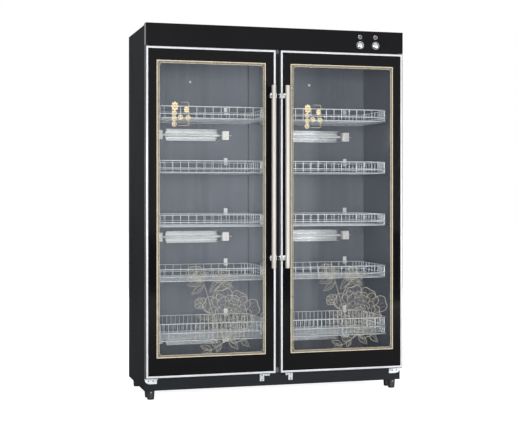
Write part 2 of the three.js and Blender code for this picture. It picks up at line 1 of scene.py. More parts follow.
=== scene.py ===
"""Looks of a dish sterilizer cabinet: finishes, printed glass, wire baskets, heater lamps and fittings.

Metres, in the frame's axes: +X to the right, the doors face -Y, +Z up. Places come from the frame's
boxes, and a size that only the looks need has its own name above the functions that use it.
"""

import json
import math

import bmesh
import bpy
import numpy as np
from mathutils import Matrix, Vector

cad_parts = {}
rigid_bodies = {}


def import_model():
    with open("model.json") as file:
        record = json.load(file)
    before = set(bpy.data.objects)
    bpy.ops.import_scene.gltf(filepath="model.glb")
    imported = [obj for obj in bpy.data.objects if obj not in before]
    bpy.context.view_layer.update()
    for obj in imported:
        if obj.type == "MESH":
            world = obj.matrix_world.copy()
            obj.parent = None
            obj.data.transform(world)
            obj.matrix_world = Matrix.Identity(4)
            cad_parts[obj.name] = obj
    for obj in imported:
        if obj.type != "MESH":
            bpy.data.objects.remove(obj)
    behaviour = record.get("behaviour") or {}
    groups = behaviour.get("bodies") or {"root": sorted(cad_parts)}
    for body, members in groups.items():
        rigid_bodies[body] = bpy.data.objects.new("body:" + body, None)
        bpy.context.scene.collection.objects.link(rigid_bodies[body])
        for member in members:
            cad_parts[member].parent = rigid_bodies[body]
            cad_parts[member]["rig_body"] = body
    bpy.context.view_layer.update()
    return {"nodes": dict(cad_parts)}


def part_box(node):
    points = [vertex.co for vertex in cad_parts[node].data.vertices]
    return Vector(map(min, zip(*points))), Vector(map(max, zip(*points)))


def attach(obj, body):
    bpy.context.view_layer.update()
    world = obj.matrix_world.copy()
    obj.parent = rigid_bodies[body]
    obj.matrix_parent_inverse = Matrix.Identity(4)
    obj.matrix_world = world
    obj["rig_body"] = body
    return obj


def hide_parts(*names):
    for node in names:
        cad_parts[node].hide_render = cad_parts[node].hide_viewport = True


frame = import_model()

MM = 0.001
X, Y, Z = np.eye(3)
HANDS = {"left": -1, "right": 1}
BASKET_LEVELS = range(1, 6)
LAMP_LEVELS = ("lower", "middle", "upper")
FOOT_ROWS = ("front", "second", "rear")


def corners(node):
    """Lowest and highest corner of a CAD node, as arrays."""
    low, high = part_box(node)
    return np.array(low), np.array(high)


def from_middle(low, high):
    """A box's nearest and farthest distance from the cabinet's middle."""
    return sorted((abs(low[0]), abs(high[0])))


# Shapes: a shape is its points and a list of face arrays

def tube(points, closed):
    """Four-cornered faces over a (rows, columns, 3) grid of points whose columns wrap round.

    Each face joins a point to its neighbours in both directions. The rows of a closed tube wrap round
    too, and an open one is capped by one face over each end row.
    """
    rows, columns = points.shape[:2]
    i, j = np.meshgrid(np.arange(rows if closed else rows - 1), np.arange(columns), indexing="ij")
    below, beside = (i + 1) % rows, (j + 1) % columns
    faces = [i * columns + j, below * columns + j, below * columns + beside, i * columns + beside]
    blocks = [np.stack(faces, -1).reshape(-1, 4)]
    if not closed:
        cap = np.arange(columns)[None]
        blocks += [cap, cap + (rows - 1) * columns]
    return points.reshape(-1, 3), blocks


def joined(shapes):
    """Several shapes as one: points laid end to end, face numbers moved on by the points before them."""
    starts = np.cumsum([0] + [len(points) for points, _ in shapes])
    blocks = [block + start for (_, blocks), start in zip(shapes, starts) for block in blocks]
    return np.concatenate([points for points, _ in shapes]), blocks


def sweep(path, section, up, closed=False, widths=1.0):
    """A closed section carried along a flat path whose plane has the normal up.

    Point (i, j) is path[i] + widths[i] * section[j, 0] * across[i] + section[j, 1] * up. A leg's across
    is up x its direction. At a corner the two legs' vectors are added and divided by 1 + their dot
    product, which keeps the section's true width through the mitre.
    """
    path, section, up = (np.asarray(values, float) for values in (path, section, up))
    legs = np.roll(path, -1, 0) - path
    if not closed:
        legs[-1] = legs[-2]
    ahead = np.cross(up, legs / np.linalg.norm(legs, axis=1, keepdims=True))
    behind = np.roll(ahead, 1, 0)
    if not closed:
        behind[0] = ahead[0]
    across = (ahead + behind) / (1 + (ahead * behind).sum(1, keepdims=True))
    across = across * np.broadcast_to(np.asarray(widths, float).reshape(-1, 1), across.shape)
    points = path[:, None] + section[None, :, :1] * across[:, None] + section[None, :, 1:] * up
    return tube(points, closed)


def turned(profile, centre, axis, sides=32, closed=False):
    """A profile of (radius, height) pairs spun about an axis through centre; a closed one makes a ring.

    Point (i, j) is centre + height[i] * axis + radius[i] * (cos t[j] * u + sin t[j] * v), where u and v
    are square to the axis and t runs once round.
    """
    profile, axis = np.asarray(profile, float), np.asarray(axis, float)
    u = np.cross(axis, X if abs(axis[0]) < 0.5 else Y)
    v = np.cross(axis, u)
    angle = np.linspace(0, 2 * np.pi, sides, endpoint=False)
    round_axis = np.cos(angle)[:, None] * u + np.sin(angle)[:, None] * v
    points = profile[:, :1, None] * round_axis + (profile[:, 1:] * axis)[:, None] + np.asarray(centre)
    return tube(points, closed)


def extruded(outline, place, depth):
    """A flat outline given a thickness: its points placed twice, the second time moved by depth."""
    front = place(np.asarray(outline, float))
    return tube(np.stack([front, front + depth]), False)


def block(low, high):
    """A box between two corners."""
    low, high = np.asarray(low, float), np.asarray(high, float)

    def place(flat):
        return low + np.column_stack([flat, np.zeros(len(flat))]) * (high - low)

    return extruded([[0, 0], [1, 0], [1, 1], [0, 1]], place, (high - low) * Z)


def circle(radius, sides):
    """Points of a circle about zero."""
    angle = np.linspace(0, 2 * np.pi, sides, endpoint=False)
    return radius * np.column_stack([np.cos(angle), np.sin(angle)])


def rectangle(half_a, half_b):
    """Four corners about zero, in turning order."""
    return np.array([[half_a, half_b], [-half_a, half_b], [-half_a, -half_b], [half_a, -half_b]])


def rounded_rectangle(half_a, half_b, radius, steps):
    """A rectangle with round corners: each corner is a quarter circle centred radius inside it."""
    quarter = np.repeat(np.arange(4), steps + 1)
    angle = (quarter + np.tile(np.arange(steps + 1) / steps, 4)) * np.pi / 2
    centres = rectangle(half_a - radius, half_b - radius)[quarter]
    return centres + radius * np.column_stack([np.cos(angle), np.sin(angle)])


def dome(radius, height, start, steps=6):
    """Profile of a dome from its rim to its pole: radius * cos t and start + height * sin t."""
    angle = np.linspace(0, np.pi / 2, steps + 1)
    return np.column_stack([radius * np.cos(angle), start + height * np.sin(angle)])


# Node trees

def srgb(red, green, blue):
    """The linear colour of an 8-bit one."""
    share = np.array([red, green, blue]) / 255
    linear = np.where(share <= 0.04045, share / 12.92, ((share + 0.055) / 1.055) ** 2.4)
    return (*linear.tolist(), 1.0)


class Tree:
    """A node tree being built. An input given a socket is linked to it, and any other value is set."""

    def __init__(self, tree):
        self.tree = tree

    def node(self, kind, inputs=None, **settings):
        made = self.tree.nodes.new(kind)
        for key, value in settings.items():
            setattr(made, key, value)
        for key, value in (inputs or {}).items():
            self.feed(made.inputs[key], value)
        return made

    def feed(self, socket, value):
        if isinstance(value, bpy.types.NodeSocket):
            self.tree.links.new(value, socket)
        else:
            socket.default_value = value

    def place(self):
        """Object coordinates, the same as the frame's because every piece sits at the origin."""
        return self.node("ShaderNodeTexCoord").outputs["Object"]

    def stretched(self, where, stretch):
        moved = self.node("ShaderNodeVectorMath", {0: where, 1: stretch}, operation="MULTIPLY")
        return moved.outputs[0]

    def noise(self, where, scale, detail=2.0, harshness=0.5):
        inputs = {"Vector": where, "Scale": scale, "Detail": detail, "Roughness": harshness}
        return self.node("ShaderNodeTexNoise", inputs).outputs["Fac"]

    def cells(self, where, scale):
        inputs = {"Vector": where, "Scale": scale}
        return self.node("ShaderNodeTexVoronoi", inputs).outputs["Distance"]

    def ramp(self, value, start, end, low=0.0, high=1.0):
        """value mapped from start..end to low..high and kept inside it."""
        inputs = {"Value": value, "From Min": start, "From Max": end, "To Min": low, "To Max": high}
        return self.node("ShaderNodeMapRange", inputs).outputs["Result"]

    def between(self, share, low, high):
        """share, which runs from 0 to 1, mapped to low..high."""
        return self.ramp(share, 0.0, 1.0, low, high)

    def maths(self, operation, a, b):
        return self.node("ShaderNodeMath", {0: a, 1: b}, operation=operation).outputs[0]

    def mix(self, share, a, b):
        return self.node("ShaderNodeMix", {0: share, 6: a, 7: b}, data_type="RGBA").outputs[2]

    def bump(self, height, depth, strength):
        inputs = {"Height": height, "Distance": depth, "Strength": strength}
        return self.node("ShaderNodeBump", inputs).outputs["Normal"]

    def group(self, name, **inputs):
        made = self.node("ShaderNodeGroup", node_tree=bpy.data.node_groups[name])
        for key, value in inputs.items():
            self.feed(made.inputs[key], value)
        return made.outputs


def effect(name, inputs, build):
    """A shared effect as a node group. build(tree, inputs) returns the named values that it puts out."""
    tree = bpy.data.node_groups.new(name, "ShaderNodeTree")
    for label, value in inputs.items():
        kind = "NodeSocketVector" if isinstance(value, tuple) else "NodeSocketFloat"
        tree.interface.new_socket(label, in_out="INPUT", socket_type=kind).default_value = value
    start = tree.nodes.new("NodeGroupInput")
    results = build(Tree(tree), start.outputs)
    for label in results:
        tree.interface.new_socket(label, in_out="OUTPUT", socket_type="NodeSocketFloat")
    end = tree.nodes.new("NodeGroupOutput")
    for label, value in results.items():
        tree.links.new(value, end.inputs[label])


def grain(tree, given):
    """Fine orange peel or moulding grain, and broad soft clouds in the same finish."""
    where = tree.place()
    return {
        "Height": tree.noise(where, given["Fineness"], 3.0),
        "Cloud": tree.ramp(tree.noise(where, given["Cloud_size"], 2.0), 0.3, 0.7),
    }


def brushing(tree, given):
    """Lines brushed along the axis with the smallest stretch, in two widths."""
    where = tree.stretched(tree.place(), given["Stretch"])
    fine = tree.noise(where, 1.0, 4.0, 0.65)
    broad = tree.noise(where, 0.09, 2.0)
    return {"Height": fine, "Shade": tree.ramp(tree.maths("ADD", fine, broad), 0.75, 1.25)}


def marks(tree, given):
    """Hand and cloth marks: soft smudges broken up by a finer noise."""
    where = tree.place()
    smudge = tree.ramp(tree.noise(where, given["Scale"], 3.0, 0.6), 0.45, 0.75)
    finer = tree.maths("MULTIPLY", given["Scale"], 9.0)
    broken = tree.ramp(tree.noise(where, finer, 2.0), 0.35, 0.6)
    both = tree.maths("MULTIPLY", smudge, broken)
    return {"Mask": tree.maths("MULTIPLY", both, given["Amount"])}


def dust(tree, given):
    """Dust where the surface faces up, thinner in patches."""
    normal = tree.node("ShaderNodeNewGeometry").outputs["Normal"]
    facing = tree.node("ShaderNodeSeparateXYZ", {0: normal})
    patches = tree.ramp(tree.noise(tree.place(), 14.0, 4.0, 0.6), 0.3, 0.75)
    upward = tree.ramp(facing.outputs["Z"], 0.5, 1.0)
    both = tree.maths("MULTIPLY", upward, patches)
    return {"Mask": tree.maths("MULTIPLY", both, given["Amount"])}


effect("Surface grain", {"Fineness": 900.0, "Cloud_size": 3.0}, grain)
effect("Brushed lines", {"Stretch": (900.0, 900.0, 12.0)}, brushing)
effect("Handling marks", {"Scale": 8.0, "Amount": 0.5}, marks)
effect("Settled dust", {"Amount": 0.3}, dust)


# Finishes

DUST = srgb(150, 148, 142)
DRAWN_LINES = (260.0, 900.0, 40.0)


def surface(name, detail, **constants):
    """A Principled material: constants are set on its sockets, detail(tree) gives what varies."""
    made = bpy.data.materials.new(name)
    made.use_nodes = True
    tree = Tree(made.node_tree)
    shader = made.node_tree.nodes["Principled BSDF"]
    for label, value in constants.items():
        shader.inputs[label.replace("_", " ")].default_value = value
    for label, value in detail(tree).items():
        tree.feed(shader.inputs[label], value)
    return made


def painted_steel(name, dark, light, rough, shine):
    """Powder coat with a fine orange peel, wiped smoother in places, dusty on top."""
    def detail(tree):
        skin = tree.group("Surface grain", Fineness=700.0, Cloud_size=2.2)
        wiped = tree.group("Handling marks", Scale=5.0, Amount=0.6)
        settled = tree.group("Settled dust", Amount=0.12)
        return {
            "Base Color": tree.mix(settled["Mask"], tree.mix(skin["Cloud"], dark, light), DUST),
            "Roughness": tree.between(wiped["Mask"], rough, rough + 0.12),
            "Normal": tree.bump(skin["Height"], 0.08 * MM, 0.15),
        }
    return surface(name, detail, Specular_IOR_Level=shine)


def brushed_stainless():
    """Chamber sheet, brushed from top to bottom, with faint water marks."""
    def detail(tree):
        lines = tree.group("Brushed lines", Stretch=(300.0, 300.0, 3.0))
        water = tree.group("Handling marks", Scale=6.0, Amount=0.8)
        sheet = tree.mix(lines["Shade"], srgb(99, 105, 114), srgb(112, 118, 127))
        return {
            "Base Color": tree.mix(water["Mask"], sheet, srgb(95, 100, 108)),
            "Roughness": tree.between(lines["Shade"], 0.34, 0.46),
            "Normal": tree.bump(lines["Height"], 0.05 * MM, 0.3),
        }
    return surface("Brushed stainless steel", detail, Metallic=0.2)


def plated_wire():
    """Bright plated basket wire, slightly clouded."""
    def detail(tree):
        skin = tree.group("Surface grain", Fineness=1200.0, Cloud_size=20.0)
        return {
            "Base Color": tree.mix(skin["Cloud"], srgb(214, 221, 226), srgb(228, 233, 237)),
            "Roughness": tree.between(skin["Cloud"], 0.28, 0.4),
            "Normal": tree.bump(skin["Height"], 0.02 * MM, 0.1),
        }
    return surface("Plated wire", detail, Metallic=0.35)


def polished_reflector():
    """Polished lamp trough with fine lengthwise rolling lines."""
    def detail(tree):
        lines = tree.group("Brushed lines", Stretch=(6.0, 900.0, 900.0))
        return {
            "Base Color": tree.mix(lines["Shade"], srgb(244, 247, 249), srgb(252, 253, 254)),
            "Roughness": tree.between(lines["Shade"], 0.2, 0.32),
            "Normal": tree.bump(lines["Height"], 0.02 * MM, 0.1),
        }
    return surface("Polished reflector", detail, Metallic=0.85)


def white_ceramic():
    """Matt white ceramic with a fine tooth and slight discolouring."""
    def detail(tree):
        skin = tree.group("Surface grain", Fineness=1500.0, Cloud_size=30.0)
        return {
            "Base Color": tree.mix(skin["Cloud"], srgb(232, 231, 226), srgb(246, 245, 242)),
            "Roughness": tree.ramp(skin["Height"], 0.3, 0.7, 0.45, 0.62),
            "Normal": tree.bump(skin["Height"], 0.1 * MM, 0.4),
        }
    return surface("White ceramic", detail)


def milky_quartz():
    """Milky quartz tube, glossy, a little denser in bands."""
    def detail(tree):
        bands = tree.noise(tree.stretched(tree.place(), (60.0, 1.0, 1.0)), 1.0, 1.0)
        return {
            "Base Color": tree.mix(bands, srgb(214, 219, 222), srgb(242, 245, 246)),
            "Roughness": tree.ramp(bands, 0.3, 0.7, 0.1, 0.2),
        }
    return surface("Milky quartz", detail, Coat_Weight=0.5)


def moulded_plastic(name, dark, light, rough):
    """Moulded plastic with a fine grain, in one of two colours."""
    def detail(tree):
        skin = tree.group("Surface grain", Fineness=1100.0, Cloud_size=12.0)
        settled = tree.group("Settled dust", Amount=0.25)
        return {
            "Base Color": tree.mix(settled["Mask"], tree.mix(skin["Cloud"], dark, light), DUST),
            "Roughness": tree.ramp(skin["Height"], 0.3, 0.7, rough - 0.08, rough + 0.08),
            "Normal": tree.bump(skin["Height"], 0.15 * MM, 0.4),
        }
    return surface(name, detail)


def polished_chrome():
    """Chrome on the buttons and their rings, with faint finger marks."""
    def detail(tree):
        finger = tree.group("Handling marks", Scale=60.0, Amount=1.0)
        return {
            "Base Color": tree.mix(finger["Mask"], srgb(226, 229, 231), srgb(205, 208, 210)),
            "Roughness": tree.between(finger["Mask"], 0.07, 0.24),
        }
    return surface("Polished chrome", detail, Metallic=1.0)


def lens(name, deep, pale):
    """Moulded indicator lens: glossy, paler where the plastic is thin."""
    def detail(tree):
        cloud = tree.ramp(tree.noise(tree.place(), 160.0, 2.0), 0.35, 0.65)
        return {
            "Base Color": tree.mix(cloud, deep, pale),
            "Roughness": tree.between(cloud, 0.08, 0.16),
        }
    return surface(name, detail, Coat_Weight=1.0, Coat_Roughness=0.05)


def zinc_plate(name, dull, bright):
    """Zinc plate with a faint crystalline spangle."""
    def detail(tree):
        spangle = tree.ramp(tree.cells(tree.place(), 260.0), 0.0, 0.8)
        return {
            "Base Color": tree.mix(spangle, dull, bright),
            "Roughness": tree.between(spangle, 0.26, 0.38),
            "Normal": tree.bump(spangle, 0.03 * MM, 0.3),
        }
    return surface(name, detail, Metallic=0.85)


def anodised_aluminium():
    """Satin anodised door profile with lengthwise drawing lines."""
    def detail(tree):
        lines = tree.group("Brushed lines", Stretch=DRAWN_LINES)
        wiped = tree.group("Handling marks", Scale=12.0, Amount=0.5)
        return {
            "Base Color": tree.mix(lines["Shade"], srgb(202, 204, 207), srgb(216, 218, 221)),
            "Roughness": tree.between(wiped["Mask"], 0.3, 0.42),
            "Normal": tree.bump(lines["Height"], 0.02 * MM, 0.1),
        }
    return surface("Anodised aluminium", detail, Metallic=0.15)


def shaded_aluminium():
    """The door profile's sides and back: the door's aluminium painted darker as shade, with lengthwise
    drawing lines.
    """
    def detail(tree):
        lines = tree.group("Brushed lines", Stretch=DRAWN_LINES)
        return {
            # Painted shade: the door's aluminium made darker, as it looks on the profile's shaded sides
            "Base Color": tree.mix(lines["Shade"], srgb(62, 63, 66), srgb(78, 79, 82)),
            "Roughness": tree.between(lines["Shade"], 0.34, 0.46),
        }
    return surface("Aluminium with painted shade", detail, Metallic=0.5)


def champagne_aluminium():
    """Champagne handle bar, brushed along its length."""
    def detail(tree):
        lines = tree.group("Brushed lines", Stretch=(150.0, 150.0, 3.0))
        held = tree.group("Handling marks", Scale=25.0, Amount=0.6)
        return {
            "Base Color": tree.mix(lines["Shade"], srgb(174, 169, 163), srgb(188, 183, 177)),
            "Roughness": tree.between(held["Mask"], 0.48, 0.6),
            "Normal": tree.bump(lines["Height"], 0.01 * MM, 0.05),
        }
    return surface("Champagne aluminium", detail, Metallic=0.2)


def tinted_glass():
    """Grey tinted safety glass with faint wiping marks; the tint is in its alpha."""
    def detail(tree):
        wiped = tree.group("Handling marks", Scale=4.0, Amount=1.0)
        return {
            "Alpha": tree.between(wiped["Mask"], 0.06, 0.09),
            "Roughness": tree.between(wiped["Mask"], 0.02, 0.06),
        }
    return surface("Tinted glass", detail, Base_Color=srgb(58, 62, 66), Specular_IOR_Level=0.8)


def printed_black():
    """Fired black enamel under the glass's surface, glossy, with faint wiping marks."""
    def detail(tree):
        wiped = tree.group("Handling marks", Scale=4.0, Amount=1.0)
        skin = tree.group("Surface grain", Fineness=300.0, Cloud_size=3.0)
        return {
            "Base Color": tree.mix(skin["Cloud"], srgb(9, 9, 11), srgb(13, 13, 15)),
            "Roughness": tree.between(wiped["Mask"], 0.04, 0.14),
        }
    return surface("Printed black", detail, Specular_IOR_Level=0.16)


def printed_metal(name, deep, pale, cover=1.0):
    """Metallic ink on the glass, very slightly mottled; a thin coat lets some of the inside show."""
    def detail(tree):
        skin = tree.group("Surface grain", Fineness=900.0, Cloud_size=40.0)
        return {
            "Base Color": tree.mix(skin["Cloud"], deep, pale),
            "Roughness": tree.ramp(skin["Height"], 0.3, 0.7, 0.45, 0.6),
        }
    return surface(name, detail, Metallic=0.1, Alpha=cover)


def soft_rubber():
    """Extruded seal rubber, matt, with bloom."""
    def detail(tree):
        skin = tree.group("Surface grain", Fineness=500.0, Cloud_size=6.0)
        return {
            "Base Color": tree.mix(skin["Cloud"], srgb(26, 26, 28), srgb(44, 44, 46)),
            "Roughness": tree.between(skin["Cloud"], 0.6, 0.8),
            "Normal": tree.bump(skin["Height"], 0.1 * MM, 0.3),
        }
    return surface("Seal rubber", detail)


# Each finish with the record's material slot that it belongs to
FINISHES = {
    "paint": (
        painted_steel("Satin black paint", srgb(37, 39, 42), srgb(43, 45, 48), 0.5, 0.006),
        "black_paint",
    ),
    "gloss_paint": (
        painted_steel("Gloss black paint", srgb(14, 14, 16), srgb(19, 19, 21), 0.2, 0.1),
        "black_paint",
    ),
    "stainless": (brushed_stainless(), "stainless"),
    "wire": (plated_wire(), "basket_wire"),
    "reflector": (polished_reflector(), "reflector"),
    "ceramic": (white_ceramic(), "heater_ceramic"),
    "quartz": (milky_quartz(), "heater_ceramic"),
    "black_plastic": (
        moulded_plastic("Black plastic", srgb(28, 28, 30), srgb(38, 38, 40), 0.5), "black_plastic"
    ),
    "white_plastic": (
        moulded_plastic("White plastic", srgb(224, 227, 228), srgb(240, 242, 242), 0.4),
        "heater_ceramic",
    ),
    "chrome": (polished_chrome(), "chrome_button"),
    "clear_lens": (lens("Clear lens", srgb(38, 40, 39), srgb(66, 68, 66)), "clear_lens"),
    "red_lens": (lens("Red lens", srgb(80, 8, 26), srgb(124, 20, 44)), "red_lens"),
    "zinc": (zinc_plate("Zinc plate", srgb(188, 193, 197), srgb(216, 220, 223)), "zinc_plate"),
    "dull_zinc": (
        zinc_plate("Dull zinc plate", srgb(112, 116, 120), srgb(146, 150, 153)), "zinc_plate"
    ),
    "aluminium": (anodised_aluminium(), "door_aluminium"),
    # The door aluminium again, painted darker as shade for the profile's sides and back
    "shaded_aluminium": (shaded_aluminium(), "door_aluminium"),
    "champagne": (champagne_aluminium(), "champagne_metal"),
    "glass": (tinted_glass(), "door_glass"),
    "printed_black": (printed_black(), "black_paint"),
    "gilt": (printed_metal("Gilt ink", srgb(212, 192, 150), srgb(224, 208, 170)), "champagne_metal"),
    "faded_gilt": (
        printed_metal("Faded gilt ink", srgb(198, 186, 160), srgb(210, 200, 176)), "champagne_metal"
    ),
    "taupe": (
        printed_metal("Taupe ink", srgb(130, 121, 104), srgb(144, 136, 119), 0.6), "champagne_metal"
    ),
    "pale_gilt": (
        printed_metal("Pale gilt ink", srgb(158, 153, 137), srgb(174, 169, 153)), "champagne_metal"
    ),
    "rubber": (soft_rubber(), "rubber_gasket"),
}


# Making pieces

SHARP_EDGE = math.radians(38)
FLAT_EDGE = math.radians(0.5)
MERGE = 0.002 * MM


def piece(name, body, shape, finish, replaces=(), rounding=0.0):
    """One object from a shape: poles merged, faces turned outwards, riding on its body."""
    points, blocks = shape
    mesh = bpy.data.meshes.new(name)
    mesh.from_pydata(points.tolist(), [], [face for block in blocks for face in block.tolist()])
    work = bmesh.new()
    work.from_mesh(mesh)
    bmesh.ops.remove_doubles(work, verts=work.verts, dist=MERGE)
    bmesh.ops.recalc_face_normals(work, faces=work.faces)
    work.to_mesh(mesh)
    work.free()
    finished(name, body, mesh, finish, replaces, rounding)


def softened(node, finish, rounding):
    """A CAD sheet part with rounded edges: a copy of its mesh, merged, its flat regions joined."""
    mesh = frame["nodes"][node].data.copy()
    work = bmesh.new()
    work.from_mesh(mesh)
    bmesh.ops.remove_doubles(work, verts=work.verts, dist=MERGE)
    bmesh.ops.dissolve_limit(work, angle_limit=FLAT_EDGE, verts=work.verts, edges=work.edges)
    work.to_mesh(mesh)
    work.free()
    body = frame["nodes"][node]["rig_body"]
    finished(f"{node}_skin", body, mesh, finish, (node,), rounding)


def finished(name, body, mesh, finish, replaces, rounding):
    """The object of a mesh: its material, sharp edges, rounding, body and replaced nodes."""
    material, slot = FINISHES[finish]
    mesh.materials.clear()
    mesh.materials.append(material)
    mesh.shade_smooth()
    mesh.set_sharp_from_angle(angle=SHARP_EDGE)
    made = bpy.data.objects.new(name, mesh)
    bpy.context.scene.collection.objects.link(made)
    if rounding:
        bevel = made.modifiers.new("Rounded edges", "BEVEL")
        bevel.width = rounding
        bevel.segments = 3
        bevel.limit_method = "ANGLE"
        bevel.angle_limit = SHARP_EDGE
        bevel.harden_normals = True
    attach(made, body)
    if replaces:
        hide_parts(*replaces)


def dress(node, finish):
    """The CAD node keeps its shape and takes a finish."""
    for place in frame["nodes"][node].material_slots:
        place.material = FINISHES[finish][0]


# Screws, shared by several fittings

SCREW_RADIUS = 3.6 * MM
SCREW_HEAD = 1.6 * MM
SCREW_SOCKET = 1.5 * MM
SCREW_SIDES = 20


def screw(place, axis):
    """A pan head on a surface: a low dome with a round-bottomed recess in its middle."""
    r, h, s = SCREW_RADIUS, SCREW_HEAD, SCREW_SOCKET
    profile = [[0, 0], [r, 0], [r, h * 0.35], [r * 0.86, h * 0.78], [r * 0.6, h], [s, h],
               [s * 0.8, h * 0.4], [0, h * 0.3]]
    return turned(profile, place, axis, SCREW_SIDES)


# Body

PANEL_ROUNDING = 0.6 * MM
SHEET_ROUNDING = 0.4 * MM
FASCIA_ROUNDING = 0.6 * MM
FLUSH_SCREW = 0.4 * MM
BACK_SCREW_INSET = 9 * MM
BACK_SCREWS_UP = 7
BACK_SCREWS_ACROSS = 4


def make_body():
    """The painted sheet parts keep the CAD's shape and get rounded edges."""
    for node in ("left_side_panel", "right_side_panel", "base_plinth"):
        softened(node, "paint", PANEL_ROUNDING)
    softened("top_panel", "paint", SHEET_ROUNDING)
    softened("control_fascia", "gloss_paint", FASCIA_ROUNDING)
    softened("centre_post", "paint", SHEET_ROUNDING)
    make_back_panel()


def make_back_panel():
    """The back panel, set in by its screws' heads, which are evenly spaced along its four edges."""
    low, high = corners("back_panel")
    panel = block(low, high - FLUSH_SCREW * Y)
    piece("back_panel_sheet", "cabinet", panel, "paint", ("back_panel",), SHEET_ROUNDING)
    xs = np.linspace(low[0] + BACK_SCREW_INSET, high[0] - BACK_SCREW_INSET, BACK_SCREWS_ACROSS)
    zs = np.linspace(low[2] + BACK_SCREW_INSET, high[2] - BACK_SCREW_INSET, BACK_SCREWS_UP)
    places = [(x, z) for x in xs for z in (zs[0], zs[-1])]
    places += [(x, z) for z in zs[1:-1] for x in (xs[0], xs[-1])]
    r, s, h = SCREW_RADIUS, SCREW_SOCKET, FLUSH_SCREW
    profile = [[0, -h], [r, -h], [r, -h * 0.3], [s, -h * 0.15], [s * 0.7, -h * 0.9], [0, -h * 0.9]]
    heads = [turned(profile, (x, high[1], z), Y, SCREW_SIDES) for x, z in places]
    piece("back_panel_screws", "cabinet", joined(heads), "zinc")


# Feet

FOOT_TAPER = 0.86
FOOT_RIBS = 3
FOOT_RIB_DEPTH = 0.5 * MM
FOOT_RIBBED = (0.2, 0.92)
FOOT_PAD = 5 * MM
FOOT_SCREW_DROP = 9 * MM
FOOT_SCREW_SUNK = 0.6 * MM


def foot(top, height):
    """Profile of a tapered foot: a pad below, then a cone whose radius is ribbed, then a plain rim.

    At a share s of the height the cone's radius is bottom + (top - bottom) * s, less a rib's depth times
    (1 - cos(7 * ribs * s)) / 2.
    """
    bottom = top * FOOT_TAPER
    pad = [[0, 0], [bottom - 2 * MM, 0], [bottom - 0.4 * MM, 0.8 * MM], [bottom, 2.4 * MM],
           [bottom, FOOT_PAD], [bottom - 0.8 * MM, FOOT_PAD + 0.6 * MM]]
    s = np.linspace(*FOOT_RIBBED, FOOT_RIBS * 4)
    groove = FOOT_RIB_DEPTH * (0.5 - 0.5 * np.cos(s * FOOT_RIBS * 7))
    cone = np.column_stack([bottom + (top - bottom) * s - groove, height * s])
    rim = [[top, height - 1.5 * MM], [top, height], [0, height]]
    return np.concatenate([pad, cone, rim])


def make_feet():
    """Each foot is a moulding of its own, and their fixing screws, seen near the top, are one piece."""
    heads = []
    for hand in HANDS:
        for row in FOOT_ROWS:
            node = f"{hand}_{row}_foot"
            low, high = corners(node)
            centre = (low + high) / 2
            shape = turned(foot((high[0] - low[0]) / 2, high[2]), centre * (X + Y), Z, sides=40)
            piece(f"{node}_moulding", "cabinet", shape, "black_plastic", (node,))
            spot = (centre[0], low[1] + FOOT_SCREW_SUNK, high[2] - FOOT_SCREW_DROP)
            heads.append(screw(spot, -Y))
    piece("foot_screws", "cabinet", joined(heads), "dull_zinc")


# Chamber

def make_chamber():
    """The chamber's sheets keep the CAD's shape."""
    for node in ("left_chamber_wall", "right_chamber_wall", "chamber_back", "chamber_roof",
                 "chamber_floor"):
        dress(node, "stainless")


# Baskets

RAIL_RADIUS = 2.2 * MM
WIRE_RADIUS = 1.1 * MM
WIRE_BEND = 9 * MM
BASKET_CORNER = 45 * MM
WIRE_PITCH = 36 * MM
DEEP_WIRE_PITCH = 20 * MM
MIDDLE_RING_DROP = 33 * MM
DEEP_RING_SHARE = 0.45
CORNER_WIRE_SHARES = (0.25, 0.5, 0.75)


def bent_wire(middle, along, half, bottom, top):
    """A wire across the floor and up both walls, its two bends quarter circles of the bend radius."""
    angle = np.linspace(0, np.pi / 2, 5)
    bend = WIRE_BEND * np.column_stack([np.sin(angle), 1 - np.cos(angle)])
    side = np.concatenate([[[0, 0]], [half - WIRE_BEND, 0] + bend, [[half, top - bottom]]])
    outline = np.concatenate([side[:0:-1] * [-1, 1], side[1:]])
    path = middle * (X + Y) + bottom * Z + outline[:, :1] * along + outline[:, 1:] * Z
    return sweep(path, circle(WIRE_RADIUS, 8), np.cross(along, Z))


def spread(half, pitch):
    """Even places across -half..half, as near to the pitch as whole spaces allow."""
    return np.linspace(-half, half, round(2 * half / pitch) + 1)


def wire_basket(low, high, pitch, rings):
    """Rings at the given heights joined by wires bent across the floor both ways."""
    centre = (low + high) / 2
    half = (high - low) / 2
    ring_half = half - RAIL_RADIUS
    outline = rounded_rectangle(ring_half[0], ring_half[1], BASKET_CORNER - RAIL_RADIUS, 7)
    flat = outline[:, :1] * X + outline[:, 1:] * Y + centre * (X + Y)
    shapes = [sweep(flat + height * Z, circle(RAIL_RADIUS, 8), Z, closed=True) for height in rings]
    inset = half - 2 * RAIL_RADIUS - WIRE_RADIUS
    bottom, top = low[2] + RAIL_RADIUS, high[2] - RAIL_RADIUS
    straight = half - BASKET_CORNER
    for x in spread(straight[0], pitch):
        shapes.append(bent_wire(centre + x * X, Y, inset[1], bottom, top))
    for y in spread(straight[1], pitch):
        shapes.append(bent_wire(centre + y * Y, X, inset[0], bottom + 2 * WIRE_RADIUS, top))
    reach = BASKET_CORNER - 2 * RAIL_RADIUS - WIRE_RADIUS
    for turn in CORNER_WIRE_SHARES:
        spot = reach * np.array([math.cos(turn * np.pi / 2), math.sin(turn * np.pi / 2), 0])
        for sign in rectangle(1, 1):
            corner = centre * (X + Y) + np.append(sign, 0) * (straight + spot) * (X + Y)
            ends = np.array([corner + bottom * Z, corner + top * Z])
            shapes.append(sweep(ends, circle(WIRE_RADIUS, 8), Y))
    return joined(shapes)


